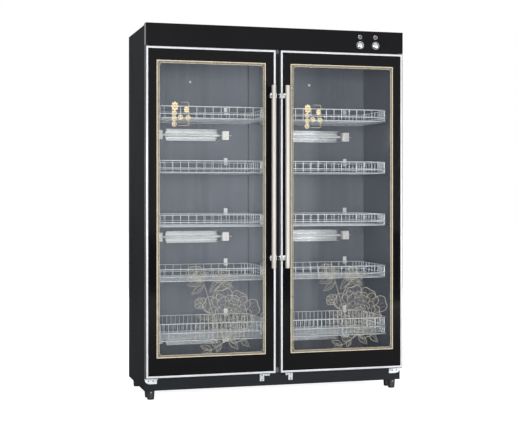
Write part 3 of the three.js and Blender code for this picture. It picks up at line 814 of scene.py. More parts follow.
def make_baskets():
    """Shallow baskets of three rings and bent wires, and a deep one with closer wires at the bottom."""
    for hand in HANDS:
        for level in BASKET_LEVELS:
            node = f"{hand}_basket_{level}"
            low, high = corners(node)
            bottom, top = low[2] + RAIL_RADIUS, high[2] - RAIL_RADIUS
            if level == min(BASKET_LEVELS):
                middle, pitch = bottom + (top - bottom) * DEEP_RING_SHARE, DEEP_WIRE_PITCH
            else:
                middle, pitch = top - MIDDLE_RING_DROP, WIRE_PITCH
            shape = wire_basket(low, high, pitch, [bottom, middle, top])
            piece(f"{node}_wires", "cabinet", shape, "wire", (node,))


# Clips and sensors on the chamber's back wall

LINER = 1.2 * MM
CLIP_SKIN = 0.25 * MM
CLIP_WIDTH = 18 * MM
CLIP_FROM_INNER = 119 * MM
CLIP_FROM_OUTER = 83 * MM
CLIP_PLATE = 3 * MM
CLIP_BELOW = 12 * MM
CLIP_ABOVE = 22 * MM
CLIP_TONGUE = 3 * MM
CLIP_TONGUE_DROP = 4.8 * MM
CLIP_BITE = 2.3 * MM
CLIP_ROUNDING = 0.8 * MM
SENSOR_RADIUS = 6.2 * MM
SENSOR_RIM = 2 * MM
SENSOR_DOME = 3 * MM
SENSOR_DROP = 100 * MM
SENSOR_SHIFTS = {"left": -25 * MM, "right": 0.0}


def clip(x, rail_top, rail_back, wall):
    """A plate on the back wall with a tongue under the basket's rail, a little proud of the CAD's."""
    face = wall - CLIP_PLATE - CLIP_SKIN
    front = rail_back - CLIP_BITE - CLIP_SKIN
    above, below = rail_top + CLIP_ABOVE + CLIP_SKIN, rail_top - CLIP_BELOW - CLIP_SKIN
    tongue = rail_top - CLIP_TONGUE_DROP + CLIP_SKIN
    under = tongue - CLIP_TONGUE - 2 * CLIP_SKIN
    outline = [[wall, below], [wall, above], [face, above], [face, tongue], [front, tongue],
               [front, under], [face, under], [face, below]]

    def place(flat):
        return (x - CLIP_WIDTH / 2) * X + flat[:, :1] * Y + flat[:, 1:] * Z

    return extruded(outline, place, CLIP_WIDTH * X)


def make_wall_fittings():
    """White clips under the baskets' rear rails, and a round sensor high on each half of the wall."""
    wall = corners("chamber_back")[1][1] - LINER
    ceiling = corners("chamber_back")[1][2]
    clips, sensors = [], []
    for hand, side in HANDS.items():
        for level in BASKET_LEVELS:
            low, high = corners(f"{hand}_basket_{level}")
            inner, outer = from_middle(low, high)
            for x in (side * (inner + CLIP_FROM_INNER), side * (outer - CLIP_FROM_OUTER)):
                clips.append(clip(x, high[2], high[1], wall))
        front = dome(SENSOR_RADIUS, SENSOR_DOME, SENSOR_RIM)
        profile = np.concatenate([[[0, 0], [SENSOR_RADIUS, 0]], front])
        spot = (side * (inner + outer) / 2 + SENSOR_SHIFTS[hand], wall, ceiling - SENSOR_DROP)
        sensors.append(turned(profile, spot, -Y, sides=24))
    piece("rail_clips", "cabinet", joined(clips), "white_plastic", rounding=CLIP_ROUNDING)
    piece("temperature_sensors", "cabinet", joined(sensors), "white_plastic")


# Heater lamps

TROUGH_SHEET = 0.9 * MM
TROUGH_END = 126.5 * MM
TUBE_RADIUS = 6 * MM
TUBE_FROM_WALL = 20 * MM
TUBE_CAP = 13 * MM
CERAMIC_WIDTH = 33 * MM
CERAMIC_ROUNDING = 3 * MM
BLOCK_SCREW_DROP = 11 * MM
GUARD_PLACE = 47 * MM
GUARD_RADIUS = 1 * MM
GUARD_REACH = 5.5 * MM
LEAD_RADIUS = 1.5 * MM
CAP_PROUD = 0.6 * MM
COLLAR_PROUD = 1.6 * MM
COLLAR_WIDTH = 3 * MM


def trough(centre, half, front, wall):
    """A bright sheet bent into a curve open to the front.

    Across the trough's height s runs -1..1. The inner face is at back - (back - front) * |s| ** 2.4 and
    the outer face, a sheet's thickness behind, at wall - (wall - front) * |s| ** 3.
    """
    s = np.linspace(-1, 1, 33)
    back = wall - TROUGH_SHEET
    inner = np.column_stack([back - (back - front) * np.abs(s) ** 2.4, s * (half - TROUGH_SHEET)])
    outer = np.column_stack([wall - (wall - front) * np.abs(s) ** 3, s * half])

    def place(flat):
        return (centre - TROUGH_END * X) * (X + Z) + flat[:, :1] * Y + flat[:, 1:] * Z

    return extruded(np.concatenate([inner, outer[::-1]]), place, 2 * TROUGH_END * X)


def guard(centre, half, front):
    """A wire hoop from lip to lip over the trough's mouth: y = front - reach * (1 - s ** 4)."""
    s = np.linspace(-1, 1, 21)
    path = (centre * (X + Z) + (front - GUARD_REACH * (1 - s ** 4))[:, None] * Y
            + (s * (half - GUARD_RADIUS))[:, None] * Z)
    return sweep(path, circle(GUARD_RADIUS, 8), X)


def lead(end, side, wall):
    """An insulated lead from a ceramic block's end, bent back to the wall by a quarter circle."""
    angle = np.linspace(0, np.pi / 2, 8)
    reach = wall - end[1]
    bend = reach * np.column_stack([side * np.sin(angle), 1 - np.cos(angle)])
    path = end + bend[:, :1] * X + bend[:, 1:] * Y
    return sweep(path, circle(LEAD_RADIUS, 8), Z)


def make_lamp(name):
    """A trough with its guards, and before it the quartz tube that two ceramic blocks hold."""
    trough_node, tube_node = f"{name}_reflector", f"{name}_heater_tube"
    low, high = corners(trough_node)
    ends_low, ends_high = corners(tube_node)
    centre, half = (low + high) / 2, (high[2] - low[2]) / 2
    piece(f"{name}_trough", "cabinet", trough(centre, half, low[1], high[1]), "reflector",
          (trough_node,))
    hoops = [guard(centre + x * X, half, low[1]) for x in (-GUARD_PLACE, GUARD_PLACE)]
    piece(f"{name}_guard", "cabinet", joined(hoops), "wire")
    axis = np.array([centre[0], high[1] - TUBE_FROM_WALL, centre[2]])
    inner_end = (ends_high[0] - ends_low[0]) / 2 - CERAMIC_WIDTH
    r, cap = TUBE_RADIUS, inner_end - TUBE_CAP
    glass = [[0, -cap], [r, -cap], [r, cap], [0, cap]]
    piece(f"{name}_quartz", "cabinet", turned(glass, axis, X, sides=28), "quartz", (tube_node,))
    sleeve, collar = r + CAP_PROUD, r + COLLAR_PROUD
    collar_start = inner_end - COLLAR_WIDTH
    profile = [[0, cap - MM], [sleeve, cap - MM], [sleeve, collar_start], [collar, collar_start],
               [collar, inner_end], [0, inner_end]]
    caps, blocks, leads = [], [], []
    for side, edge in ((-1, ends_low), (1, ends_high)):
        caps.append(turned(profile, axis, side * X, sides=24))
        near, far = (edge - side * CERAMIC_WIDTH) * X, edge * X
        start, end = np.minimum(near, far), np.maximum(near, far)
        blocks.append(block(start + ends_low * (Y + Z), end + ends_high * (Y + Z)))
        leads.append(lead(axis * (Y + Z) + far, side, high[1]))
        spot = (near + far) / 2 + ends_low * Y + (centre[2] - BLOCK_SCREW_DROP) * Z
        caps.append(screw(spot, -Y))
    piece(f"{name}_blocks", "cabinet", joined(blocks), "ceramic", (tube_node,), CERAMIC_ROUNDING)
    piece(f"{name}_caps", "cabinet", joined(caps), "zinc")
    piece(f"{name}_leads", "cabinet", joined(leads), "white_plastic")


def make_lamps():
    """Three heater lamps on the wall behind each door."""
    for hand in HANDS:
        for level in LAMP_LEVELS:
            make_lamp(f"{hand}_{level}")


# Controls

FASCIA_STEP = 3 * MM
BEZEL_OUTER = 17.9 * MM
BEZEL_INNER = 13.7 * MM
BEZEL_PROUD = 3.4 * MM
BUTTON_RADIUS = 13.4 * MM
CAP_RADIUS = 11.6 * MM
CAP_RISE = 3 * MM
BUTTON_BACK = 20 * MM
LAMP_RADIUS = 9.5 * MM
LAMP_RIM = 1.6 * MM
LENS_RADIUS = 7.4 * MM
LENS_RIBS = 12
LENS_BACK = 28 * MM
LENS_ROUNDING = 0.5 * MM


def make_button(hand, face):
    """A black collar and a domed chrome cap that move, in a chrome bezel that stays."""
    node, body = f"{hand}_button", f"{hand}_push"
    low, high = corners(node)
    centre = (low + high) / 2 * (X + Z) + face * Y
    rise = face - low[1]
    shoulder = rise - CAP_RISE
    r, c = BUTTON_RADIUS, CAP_RADIUS
    collar = [[0, -BUTTON_BACK], [r, -BUTTON_BACK], [r, shoulder - 2.4 * MM],
              [r - 0.6 * MM, shoulder - 1.8 * MM], [0, shoulder - 1.8 * MM]]
    piece(f"{node}_collar", body, turned(collar, centre, -Y, sides=48), "black_plastic", (node,))
    cap = np.concatenate([[[0, shoulder - 2 * MM], [c, shoulder - 2 * MM]],
                          dome(c, rise - shoulder, shoulder, 10)])
    piece(f"{node}_cap", body, turned(cap, centre, -Y, sides=48), "chrome", (node,))
    o, i, p = BEZEL_OUTER, BEZEL_INNER, BEZEL_PROUD
    bezel = [[i, -MM], [o, -MM], [o, p * 0.6], [o - 0.9 * MM, p], [i + 1.6 * MM, p],
             [i + 0.4 * MM, p * 0.7], [i, p * 0.5]]
    piece(f"{node}_bezel", "cabinet", turned(bezel, centre, -Y, sides=48, closed=True), "chrome")


def make_indicator(lamp, face):
    """A faceted domed lens in a narrow chrome bezel."""
    node = f"{lamp}_indicator"
    low, high = corners(node)
    centre = (low + high) / 2 * (X + Z) + face * Y
    o, i, p = LAMP_RADIUS, LENS_RADIUS, LAMP_RIM
    bezel = [[i, -MM], [o, -MM], [o, p * 0.6], [o - 0.6 * MM, p], [i + 0.3 * MM, p], [i, p * 0.7]]
    ring_shape = turned(bezel, centre, -Y, sides=40, closed=True)
    piece(f"{lamp}_bezel", "cabinet", ring_shape, "chrome", (node,))
    rounded_front = dome(i, face - low[1] - MM, MM, 7)
    profile = np.concatenate([[[0, -LENS_BACK], [i, -LENS_BACK]], rounded_front])
    lens_shape = turned(profile, centre, -Y, LENS_RIBS)
    piece(f"{lamp}_lens", "cabinet", lens_shape, f"{lamp}_lens", (node,), LENS_ROUNDING)


def make_controls():
    """Two push buttons and two indicators on the fascia."""
    face = corners("control_fascia")[0][1] + FASCIA_STEP
    for hand in HANDS:
        make_button(hand, face)
    for lamp in ("clear", "red"):
        make_indicator(lamp, face)


# Doors

GLASS_EDGE = 10.8 * MM
GLASS_RECESS = 2 * MM
DOOR_THICKNESS = 30 * MM
GASKET_WIDTH = 10 * MM
STRIKER_INSET = 31 * MM
STRIKER_DEPTH = 10 * MM
STRIKER_RADIUS = 4 * MM
STRIKER_LENGTH = 11 * MM
STRIKER_ROOT = 2 * MM

# Millimetres from the door's edge and from its front: the bright lip, and the profile round it, its
# aluminium painted darker as shade
LIP_SECTION = [
    [2.4, 3], [2.4, 0.7], [2.8, 0.2], [3.4, 0], [5.0, 0], [5.4, 0.4], [5.7, 1.1], [6.0, 0.4], [6.4, 0],
    [9.2, 0], [10.0, 0.4], [10.4, 1.3], [10.4, 3],
]
FRAME_SECTION = [
    [0, 1.9], [0.5, 0.9], [1.3, 0.4], [2.3, 0.3], [2.3, 3.1], [10.4, 3.1], [10.4, 6.2], [39, 6.2],
    [40, 7.2], [40, 29], [39, 30], [1, 30], [0, 29], [0, 16.4], [1.2, 16], [1.2, 12], [0, 11.6],
]

# Millimetres across the seal and out of the door's back
GASKET_SECTION = [
    [-5, 0], [-5, 1], [-4.2, 1.6], [-4.4, 3], [-3.6, 4.5], [-2, 5.4], [0, 5.65], [2, 5.4], [3.6, 4.5],
    [4.4, 3], [4.2, 1.6], [5, 1], [5, 0],
]


def door_box(hand):
    """Corners of the whole door without its striker, from its glass."""
    low, high = corners(f"{hand}_door_glass")
    low = low - [GLASS_EDGE, GLASS_RECESS, GLASS_EDGE]
    high = high + [GLASS_EDGE, 0, GLASS_EDGE]
    high[1] = low[1] + DOOR_THICKNESS
    return low, high


def inset_path(low, high, y, sides, top=None, bottom=None):
    """A rectangle inside a door's edges, in the order that turns a sweep's across inwards."""
    left, right = low[0] + sides, high[0] - sides
    floor = low[2] + (sides if bottom is None else bottom)
    ceiling = high[2] - (sides if top is None else top)
    return np.array([[right, y, floor], [left, y, floor], [left, y, ceiling], [right, y, ceiling]])


def make_doors():
    """Each door's bright lip, profile in aluminium painted darker as shade, striker, glass and seal,
    with its handle and its print.
    """
    for hand, side in HANDS.items():
        body = f"{hand}_door"
        low, high = door_box(hand)
        edges = inset_path(low, high, low[1], 0.0)
        # The profile's finish is the door aluminium painted darker as shade
        for name, section, finish in (("lip", LIP_SECTION, "aluminium"),
                                      ("profile", FRAME_SECTION, "shaded_aluminium")):
            shape = sweep(edges, np.array(section) * MM, Y, closed=True)
            piece(f"{body}_{name}", body, shape, finish, (f"{body}_frame",))
        r, tip = STRIKER_RADIUS, STRIKER_LENGTH
        pin = [[0, -STRIKER_ROOT], [r, -STRIKER_ROOT], [r, tip - MM], [r - MM, tip], [0, tip]]
        x = side * (from_middle(low, high)[0] + STRIKER_INSET)
        spot = (x, low[1] + STRIKER_DEPTH, low[2])
        piece(f"{body}_striker", body, turned(pin, spot, -Z, sides=24), "zinc", (f"{body}_frame",))
        dress(f"{body}_glass", "glass")
        seal_low, seal_high = corners(f"{body}_gasket")
        seal = inset_path(seal_low, seal_high, high[1], GASKET_WIDTH / 2)
        piece(f"{body}_seal", body, sweep(seal, np.array(GASKET_SECTION) * MM, Y, closed=True),
              "rubber", (f"{body}_gasket",))
        make_handle(hand, side, low, high)
        make_print(hand, low, high)


# Handles

BAR_RADIUS = 10 * MM
BAR_FROM_EDGE = 22 * MM
BAR_CHAMFER = 1.2 * MM
BRACKET_INSET = 44 * MM
BRACKET_HEIGHT = 22 * MM
BRACKET_REACH = 28 * MM
BRACKET_PLATE = 3 * MM
BRACKET_SIDE = 2 * MM
BRACKET_WRAP = 18 * MM
BRACKET_SUNK = 0.5 * MM
BRACKET_ROUNDING = 0.7 * MM
BRACKET_SCREW_DEPTH = 10 * MM
POST_RADIUS = 6.5 * MM


def post_profile(length):
    """Profile of a post from its flange on the bracket, over a plain shank, to the cup under the bar."""
    base, r = BRACKET_PLATE, POST_RADIUS
    cup = length - BAR_RADIUS
    return [[0, base - MM], [r + 2 * MM, base - MM], [r + 2 * MM, base + MM], [r, base + 2.4 * MM],
            [r, cup - 2 * MM], [r + 1.5 * MM, cup + MM], [r + 1.5 * MM, length - 4 * MM],
            [0, length - 4 * MM]]


def make_handle(hand, side, low, high):
    """A bar on two posts, each on a plate bent round the door's edge and screwed to it."""
    body, node = f"{hand}_door", f"{hand}_door_handle"
    bar_low, bar_high = corners(node)
    edge = side * from_middle(low, high)[0]
    front = low[1]
    x, y = edge + side * BAR_FROM_EDGE, bar_low[1] + BAR_RADIUS
    r, c = BAR_RADIUS, BAR_CHAMFER
    length = bar_high[2] - bar_low[2]
    bar = [[0, 0], [r - c, 0], [r, c], [r, length - c], [r - c, length], [0, length]]
    piece(f"{body}_bar", body, turned(bar, (x, y, bar_low[2]), Z, sides=48), "champagne", (node,))
    plates, turnings = [], []
    half = BRACKET_HEIGHT / 2
    outer = edge - side * BRACKET_SIDE
    left, right = sorted((outer, edge + side * BRACKET_REACH))
    wrap_left, wrap_right = sorted((outer, edge))
    for z in (bar_low[2] + BRACKET_INSET, bar_high[2] - BRACKET_INSET):
        plates.append(block((left, front - BRACKET_PLATE, z - half), (right, front, z + half)))
        plates.append(block((wrap_left, front - BRACKET_SUNK, z - half),
                            (wrap_right, front + BRACKET_WRAP, z + half)))
        turnings.append(turned(post_profile(front - y), (x, front, z), -Y, sides=32))
        for up in (-1, 1):
            spot = (outer, front + BRACKET_SCREW_DEPTH, z + up * half / 2)
            turnings.append(screw(spot, -side * X))
    piece(f"{body}_brackets", body, joined(plates), "zinc", (node,), BRACKET_ROUNDING)
    piece(f"{body}_posts", body, joined(turnings), "chrome", (node,))


# Printing on the glass: flat shapes that lie just in front of it

INK = 0.03 * MM
BLACK_LIFT = 0.1 * MM
LINE_LIFT = 0.16 * MM
PRINT_SIDES = 48.5 * MM
PRINT_TOP = 61 * MM
PRINT_BOTTOM = 88 * MM
OUTER_LINE = 3 * MM
BAND = 8 * MM
INNER_LINE = 1.1 * MM
NOTCH = 7 * MM

# Line widths of the drawing in millimetres, and shares that shape its flowers and leaves
STROKE = 2.1
FINE_STROKE = 1.6
BRACKET_STROKE = 1.7
RING_STROKE = 3.4
OUTER_SHARE = 0.6
PETAL_WIDTH = 2.9
PETAL_FRILL = 0.025
VEINS = (-0.45, 0.0, 0.45)
VEIN_RUN = np.array([[0.93, 1.0], [0.72, 0.75]])
THIN_STROKE = 0.8 * FINE_STROKE
VEIN_STROKE = 0.7 * FINE_STROKE
VEINED_RADIUS = 60
SEED_HEAD = 0.09
STAMEN_RING = 0.17
STAMEN_DOT = 0.022
MIDRIB_SHARES = np.array([0.85, 0.25])


def ring(outer, inner):
    """A flat ring between two rectangles."""
    return tube(np.stack([outer, inner, inner + INK * Y, outer + INK * Y], 1), True)


def notched(path, radius, steps=7):
    """A rectangle's corners cut by quarter circles: corner - r * cos t * before + r * sin t * after."""
    legs = np.roll(path, -1, 0) - path
    after = legs / np.linalg.norm(legs, axis=1, keepdims=True)
    before = np.roll(after, 1, 0)
    angle = np.linspace(0, np.pi / 2, steps)[None, :, None]
    arcs = path[:, None] + radius * (np.sin(angle) * after[:, None] - np.cos(angle) * before[:, None])
    return arcs.reshape(-1, 3)


def stroke(flat, width, closed=False):
    """A printed line through points of the drawing.

    An open one is thinner towards its ends: its width is multiplied by 0.35 + 0.65 * sin(pi * s), with s
    running from 0.12 to 0.88 along it.
    """
    flat = np.asarray(flat, float)
    path = np.column_stack([flat[:, 0], np.zeros(len(flat)), flat[:, 1]])
    thin = 1.0 if closed else 0.35 + 0.65 * np.sin(np.linspace(0.12, 0.88, len(flat)) * np.pi)
    return sweep(path, rectangle(width / 2, INK / 2), Y, closed, thin)


def filled(outline):
    """A printed area inside an outline of the drawing."""

    def place(flat):
        return np.column_stack([flat[:, 0], np.full(len(flat), -INK / 2), flat[:, 1]])

    return extruded(outline, place, INK * Y)


def curve(a, b, c, d, steps=16):
    """A cubic through four control points."""
    t = np.linspace(0, 1, steps)[:, None]
    a, b, c, d = (np.array(point, float) for point in (a, b, c, d))
    return (1 - t) ** 3 * a + 3 * t * (1 - t) ** 2 * b + 3 * t ** 2 * (1 - t) * c + t ** 3 * d


def turned_flat(flat, angle, shift):
    """Flat points turned by an angle and moved."""
    turn = np.array([[math.cos(angle), math.sin(angle)], [-math.sin(angle), math.cos(angle)]])
    return flat @ turn + np.asarray(shift, float)


def petal(near, far, width, frill, steps=30):
    """The outer part of a petal on the first axis.

    With t in 0.14..0.86 of a turn and s = (1 - cos t) / 2, the point is along near + (far - near) * s
    with its tip frilled by 1 + frill * cos(5 t) * s, and across width * sin t * (0.6 + 0.4 s).
    """
    t = np.linspace(0.14, 0.86, steps) * 2 * np.pi
    s = (1 - np.cos(t)) / 2
    along = (near + (far - near) * s) * (1 + frill * np.cos(5 * t) * s)
    return np.column_stack([along, width * np.sin(t) * (0.6 + 0.4 * s)])


def blossom(centre, radius, tilt, layers):
    """Petals in rings, each ring smaller and turned against the one outside it, round a seed head.

    Petal k of ring n reaches out to the ring's radius * (1 + 0.12 * cos(2.3 * k + n)). The outer rings
    of a large flower have short veins near their petals' tips.
    """
    lines = []
    for index, (share, count) in enumerate(layers):
        outer = share > OUTER_SHARE
        veins = VEINS if outer and radius > VEINED_RADIUS else ()
        ring_radius = radius * share
        width = ring_radius * PETAL_WIDTH / count
        for k in range(count):
            angle = tilt + 2 * np.pi * (k + 0.5 * (index % 2)) / count
            far = ring_radius * (1 + 0.12 * math.cos(2.3 * k + index))
            edge = turned_flat(petal(ring_radius * 0.5, far, width, PETAL_FRILL), angle, centre)
            lines.append(stroke(edge, STROKE if outer else FINE_STROKE))
            for vein in veins:
                run = turned_flat(VEIN_RUN * [far, vein * width], angle, centre)
                lines.append(stroke(run, VEIN_STROKE))
    lines.append(stroke(circle(radius * SEED_HEAD, 20) + centre, FINE_STROKE, closed=True))
    for spot in circle(radius * STAMEN_RING, 9) + centre:
        lines.append(stroke(circle(radius * STAMEN_DOT, 8) + spot, THIN_STROKE, closed=True))
    return lines


def leaf(base, tip, width):
    """Two bowed edges from base to tip, width * sin(pi s) * (1.25 - 0.5 s) off the axis, and a midrib.

    The midrib is one of the edges drawn shorter and less bowed.
    """
    base, tip = np.array(base, float), np.array(tip, float)
    s = np.linspace(0, 1, 14)
    bow = width * np.sin(np.pi * s) * (1.25 - 0.5 * s)
    length = np.linalg.norm(tip - base)
    angle = math.atan2(tip[1] - base[1], tip[0] - base[0])
    edge = np.column_stack([s * length, bow])
    lines = [stroke(turned_flat(edge * [1, sign], angle, base), FINE_STROKE) for sign in (-1, 1)]
    lines.append(stroke(turned_flat(edge * MIDRIB_SHARES, angle, base), THIN_STROKE))
    return lines


# The drawing's places in millimetres, across from the door's middle and up from the floor
BLOSSOM = (84, 366)
BLOSSOM_RADIUS = 122
BLOSSOM_TILT = 0.3
BLOSSOM_LAYERS = [(1.0, 8), (0.82, 8), (0.65, 7), (0.5, 7), (0.37, 6), (0.26, 6), (0.17, 5)]
BUD = (-52, 422)
STEMS = [
    [(40, 290), (10, 330), (-10, 430), (-40, 520)],
    [(-40, 520), (-48, 528), (-58, 534), (-70, 540)],
    [(-8, 415), (4, 460), (24, 490), (45, 512)],
    [(6, 345), (-10, 380), (-30, 395), (-46, 408)],
    [(76, 272), (54, 246), (30, 228), (0, 216)],
]
LEAVES = [
    [(-40, 520), (-112, 500), 13], [(-40, 520), (-104, 540), 12], [(-36, 500), (-92, 462), 12],
    [(-10, 470), (52, 536), 15], [(10, 480), (92, 500), 13], [(-58, 534), (-12, 556), 10],
    [(40, 505), (120, 540), 14], [(0, 216), (-54, 236), 11], [(0, 216), (-46, 196), 11],
    [(26, 226), (-4, 264), 12], [(40, 238), (20, 204), 10], [(76, 262), (120, 214), 14],
    [(130, 262), (172, 222), 12], [(-20, 330), (-78, 318), 12], [(-14, 352), (-72, 372), 11],
    [(-20, 300), (-66, 276), 12], [(45, 512), (96, 486), 12],
]
SMALL_FLOWERS = [((-80, 551), 36), ((45, 538), 32), (BUD, 25)]
SMALL_TILT = 0.7
SMALL_LAYERS = [(1.0, 6), (0.55, 5)]
BADGES = [((-166, 1286), 17, 23), ((-115, 1272), 12, 16)]
DISCS = [(-169, 1256), (-169, 1232), (-169, 1208), (-141, 1238), (-107, 1236)]
BRACKET_LINE = [(-140, 1304), (-108, 1304), (-104, 1300), (-104, 1206), (-108, 1202), (-152, 1202)]
DISC_RADIUS = 9
BADGE_PETALS = 8
BADGE_REACH = 0.62
BADGE_PETAL = (0.36, 0.2)
BADGE_HEART = 0.28
DISC_HEART = 0.45


def ornament():
    """Line drawing of a peony with a bud, two small flowers, stems and leaves, in millimetres."""
    lines = blossom(BLOSSOM, BLOSSOM_RADIUS, BLOSSOM_TILT, BLOSSOM_LAYERS)
    for points in STEMS:
        lines.append(stroke(curve(*points), STROKE))
    for base, tip, width in LEAVES:
        lines += leaf(base, tip, width)
    for place, radius in SMALL_FLOWERS:
        lines += blossom(place, radius, SMALL_TILT, SMALL_LAYERS)
    return joined(lines)


def badges():
    """Plain rosettes of small petals, and ringed dots beside a thin bracket line, in millimetres."""
    shapes = []
    for place, wide, tall in BADGES:
        size = np.array([wide, tall])
        for angle in np.arange(BADGE_PETALS) * 2 * np.pi / BADGE_PETALS:
            spot = size * BADGE_REACH * [math.cos(angle), math.sin(angle)] + place
            shapes.append(filled(turned_flat(circle(1, 14) * size * BADGE_PETAL, angle, spot)))
        shapes.append(filled(circle(wide * BADGE_HEART, 16) + place))
    for spot in DISCS:
        shapes.append(stroke(circle(DISC_RADIUS, 24) + spot, RING_STROKE, closed=True))
        shapes.append(filled(circle(DISC_RADIUS * DISC_HEART, 16) + spot))
    shapes.append(stroke(BRACKET_LINE, BRACKET_STROKE))
    return joined(shapes)


def drawn(shape, middle, y):
    """A drawing in millimetres put on the glass."""
    points, blocks = shape
    placed = points * [MM, 1, MM] + [middle, y, 0]
    return placed, blocks


def make_print(hand, low, high):
    """A black border, three lines round the clear pane, the drawing and the badges."""
    body = f"{hand}_door"
    face = low[1] + GLASS_RECESS
    edge = inset_path(low, high, face - BLACK_LIFT, GLASS_EDGE)
    opening = inset_path(low, high, face - BLACK_LIFT, PRINT_SIDES, PRINT_TOP, PRINT_BOTTOM)
    piece(f"{body}_black_border", body, ring(edge, opening), "printed_black")

    def rim(start, width, finish, name, notch=0.0):
        middle = start + width / 2
        path = inset_path(low, high, face - LINE_LIFT, PRINT_SIDES + middle, PRINT_TOP + middle,
                          PRINT_BOTTOM + middle)
        if notch:
            path = notched(path, notch)
        shape = sweep(path, rectangle(width / 2, INK / 2), Y, closed=True)
        piece(f"{body}_{name}", body, shape, finish)

    rim(0.0, OUTER_LINE, "faded_gilt", "outer_line")
    rim(OUTER_LINE, BAND, "taupe", "band")
    rim(OUTER_LINE + BAND, INNER_LINE, "faded_gilt", "inner_line", NOTCH)
    middle = (low[0] + high[0]) / 2
    piece(f"{body}_ornament", body, drawn(ornament(), middle, face - LINE_LIFT), "pale_gilt")
    piece(f"{body}_badges", body, drawn(badges(), middle, face - LINE_LIFT), "gilt")


# Hinges, catches, control box and gland

FITTING_ROUNDING = 0.5 * MM
HINGE_SHEET = 2.5 * MM
HINGE_SCREW_SHARES = (0.3, 0.68)
HINGE_SCREW_HEIGHT = 13 * MM
CATCH_SHEET = 3 * MM
CATCH_SCREW_INSET = 10 * MM
CATCH_SCREWS_FROM_ENDS = (7 * MM, 9 * MM)
GLAND_BORE = 4.2 * MM


def make_fittings():
    """Hinges and catches with their screws, the control box and the gland."""
    heads = []
    for hand, side in HANDS.items():
        for node in (f"{hand}_lower_hinge", f"{hand}_upper_hinge", f"{hand}_catch"):
            softened(node, "zinc", FITTING_ROUNDING)
        low, high = corners(f"{hand}_lower_hinge")
        for share in HINGE_SCREW_SHARES:
            x = side * (from_middle(low, high)[0] + (high[0] - low[0]) * share)
            heads.append(screw((x, high[1] - HINGE_SHEET, low[2] + HINGE_SCREW_HEIGHT), -Y))
        low, high = corners(f"{hand}_catch")
        x = side * (from_middle(low, high)[1] - CATCH_SCREW_INSET)
        lower, upper = CATCH_SCREWS_FROM_ENDS
        for z in (low[2] + lower, high[2] - upper):
            heads.append(screw((x, high[1] - CATCH_SHEET, z), -Y))
    piece("fitting_screws", "cabinet", joined(heads), "dull_zinc")
    softened("control_box", "zinc", FITTING_ROUNDING)
    make_gland()


def make_gland():
    """A cable gland: a nut that widens in steps, with a bore right through it."""
    low, high = corners("mains_gland")
    foot_centre = (low + high) / 2 * (X + Y) + low * Z
    bore, r, top = GLAND_BORE, (high[0] - low[0]) / 2, high[2] - low[2]
    nut = [[bore, 0], [r * 0.7, 0], [r * 0.82, 2 * MM], [r * 0.82, 3.5 * MM], [r, 4 * MM], [r, top],
           [bore, top]]
    shape = turned(nut, foot_centre, Z, sides=24, closed=True)
    piece("gland_moulding", "cabinet", shape, "black_plastic", ("mains_gland",))


# Studio

FLOOR_SIZE = 40.0
SKY_SEEN = 1.0
SKY_MIRRORED = 0.95
SKY_LIGHT = 0.2
FLOOR_GLOW = 0.9
WHITE = (1.0, 1.0, 1.0, 1.0)

# Name, place, the point it faces, width and height, power in watts
LIGHTS = [
    ("key", (-1.5, -5.3, 0.95), (0.0, 0.1, 0.9), (1.8, 1.8), 235),
    ("fill", (2.9, -3.9, 0.7), (0.3, 0.1, 1.2), (1.2, 1.2), 68),
    ("top", (0.0, -0.4, 3.4), (0.0, 0.0, 0.8), (2.4, 1.6), 20),
    ("rear", (0.9, 4.8, 2.2), (0.0, 0.1, 0.8), (1.8, 1.8), 150),
    ("side", (4.8, 1.2, 2.0), (0.5, 0.1, 0.8), (1.6, 1.6), 60),
]

# The photograph's viewpoint, solved from the cabinet's corners
CAMERA_PLACE = (-1.468, -5.087, 0.911)
CAMERA_HEADING = math.radians(-15.75)
CAMERA_LENS = 79.44
CAMERA_SENSOR = 36.0
CAMERA_SHIFT = (-0.0017, -0.0446)


def pale_floor():
    """White matt floor. For rays that are seen it also glows, so that only the shadow darkens it."""
    made = bpy.data.materials.new("Studio floor")
    made.use_nodes = True
    tree = Tree(made.node_tree)
    shader = made.node_tree.nodes["Principled BSDF"]
    speckle = tree.ramp(tree.noise(tree.place(), 6.0, 3.0), 0.3, 0.7)
    matt = tree.mix(speckle, srgb(226, 226, 226), srgb(232, 232, 232))
    tree.feed(shader.inputs["Base Color"], matt)
    shader.inputs["Roughness"].default_value = 0.9
    shader.inputs["Specular IOR Level"].default_value = 0.1
    shader.inputs["Emission Color"].default_value = WHITE
    rays = tree.node("ShaderNodeLightPath").outputs
    glow = tree.between(rays["Is Camera Ray"], 0.0, FLOOR_GLOW)
    tree.feed(shader.inputs["Emission Strength"], glow)
    return made


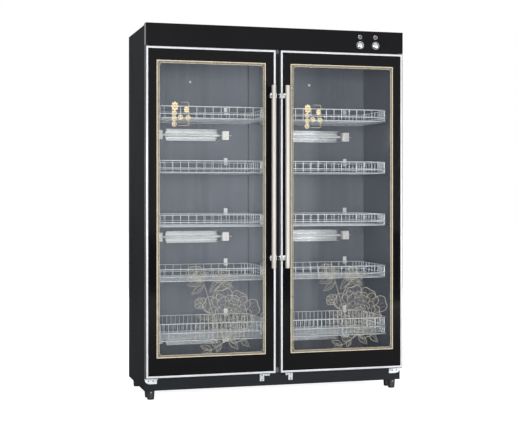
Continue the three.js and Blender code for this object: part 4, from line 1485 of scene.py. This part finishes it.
def area(name, place, target, size, power):
    """A soft rectangular lamp that faces its target."""
    light = bpy.data.lights.new(name, "AREA")
    light.shape = "RECTANGLE"
    light.size, light.size_y = size
    light.energy = power
    lamp = bpy.data.objects.new(name, light)
    lamp.location = place
    lamp.rotation_euler = (Vector(target) - Vector(place)).to_track_quat("-Z", "Y").to_euler()
    bpy.context.scene.collection.objects.link(lamp)


def make_floor():
    """The floor belongs to the picture and not to the object."""
    floor = bpy.data.meshes.new("studio_floor")
    flat = rectangle(FLOOR_SIZE / 2, FLOOR_SIZE / 2)
    floor.from_pydata([(x, y, 0) for x, y in flat.tolist()], [], [(0, 1, 2, 3)])
    floor.materials.append(pale_floor())
    ground = bpy.data.objects.new("studio_floor", floor)
    bpy.context.scene.collection.objects.link(ground)


def make_sky():
    """White where it is seen, through glass too, nearly white in reflections, dim as a light."""
    world = bpy.data.worlds.new("Studio")
    bpy.context.scene.world = world
    world.use_nodes = True
    tree = Tree(world.node_tree)
    rays = tree.node("ShaderNodeLightPath").outputs
    seen = tree.maths("MAXIMUM", rays["Is Camera Ray"], rays["Is Transmission Ray"])
    mirrored = tree.between(rays["Is Glossy Ray"], SKY_LIGHT, SKY_MIRRORED)
    sky = world.node_tree.nodes["Background"]
    sky.inputs["Color"].default_value = WHITE
    direct = tree.between(seen, 0.0, SKY_SEEN)
    tree.feed(sky.inputs["Strength"], tree.maths("MAXIMUM", direct, mirrored))


def make_studio():
    """Floor, sky and lights, and colours shown as they are."""
    make_floor()
    make_sky()
    for light in LIGHTS:
        area(*light)
    bpy.context.scene.view_settings.view_transform = "Standard"


def make_camera():
    """The photograph's camera: level, and turned about the vertical by its heading."""
    optics = bpy.data.cameras.new("camera")
    optics.lens = CAMERA_LENS
    optics.sensor_width = CAMERA_SENSOR
    optics.shift_x, optics.shift_y = CAMERA_SHIFT
    view = bpy.data.objects.new("camera", optics)
    view.location = CAMERA_PLACE
    view.rotation_euler = (math.radians(90), 0, CAMERA_HEADING)
    bpy.context.scene.collection.objects.link(view)
    bpy.context.scene.camera = view


make_body()
make_feet()
make_chamber()
make_wall_fittings()
make_baskets()
make_lamps()
make_controls()
make_doors()
make_fittings()
make_studio()
make_camera()
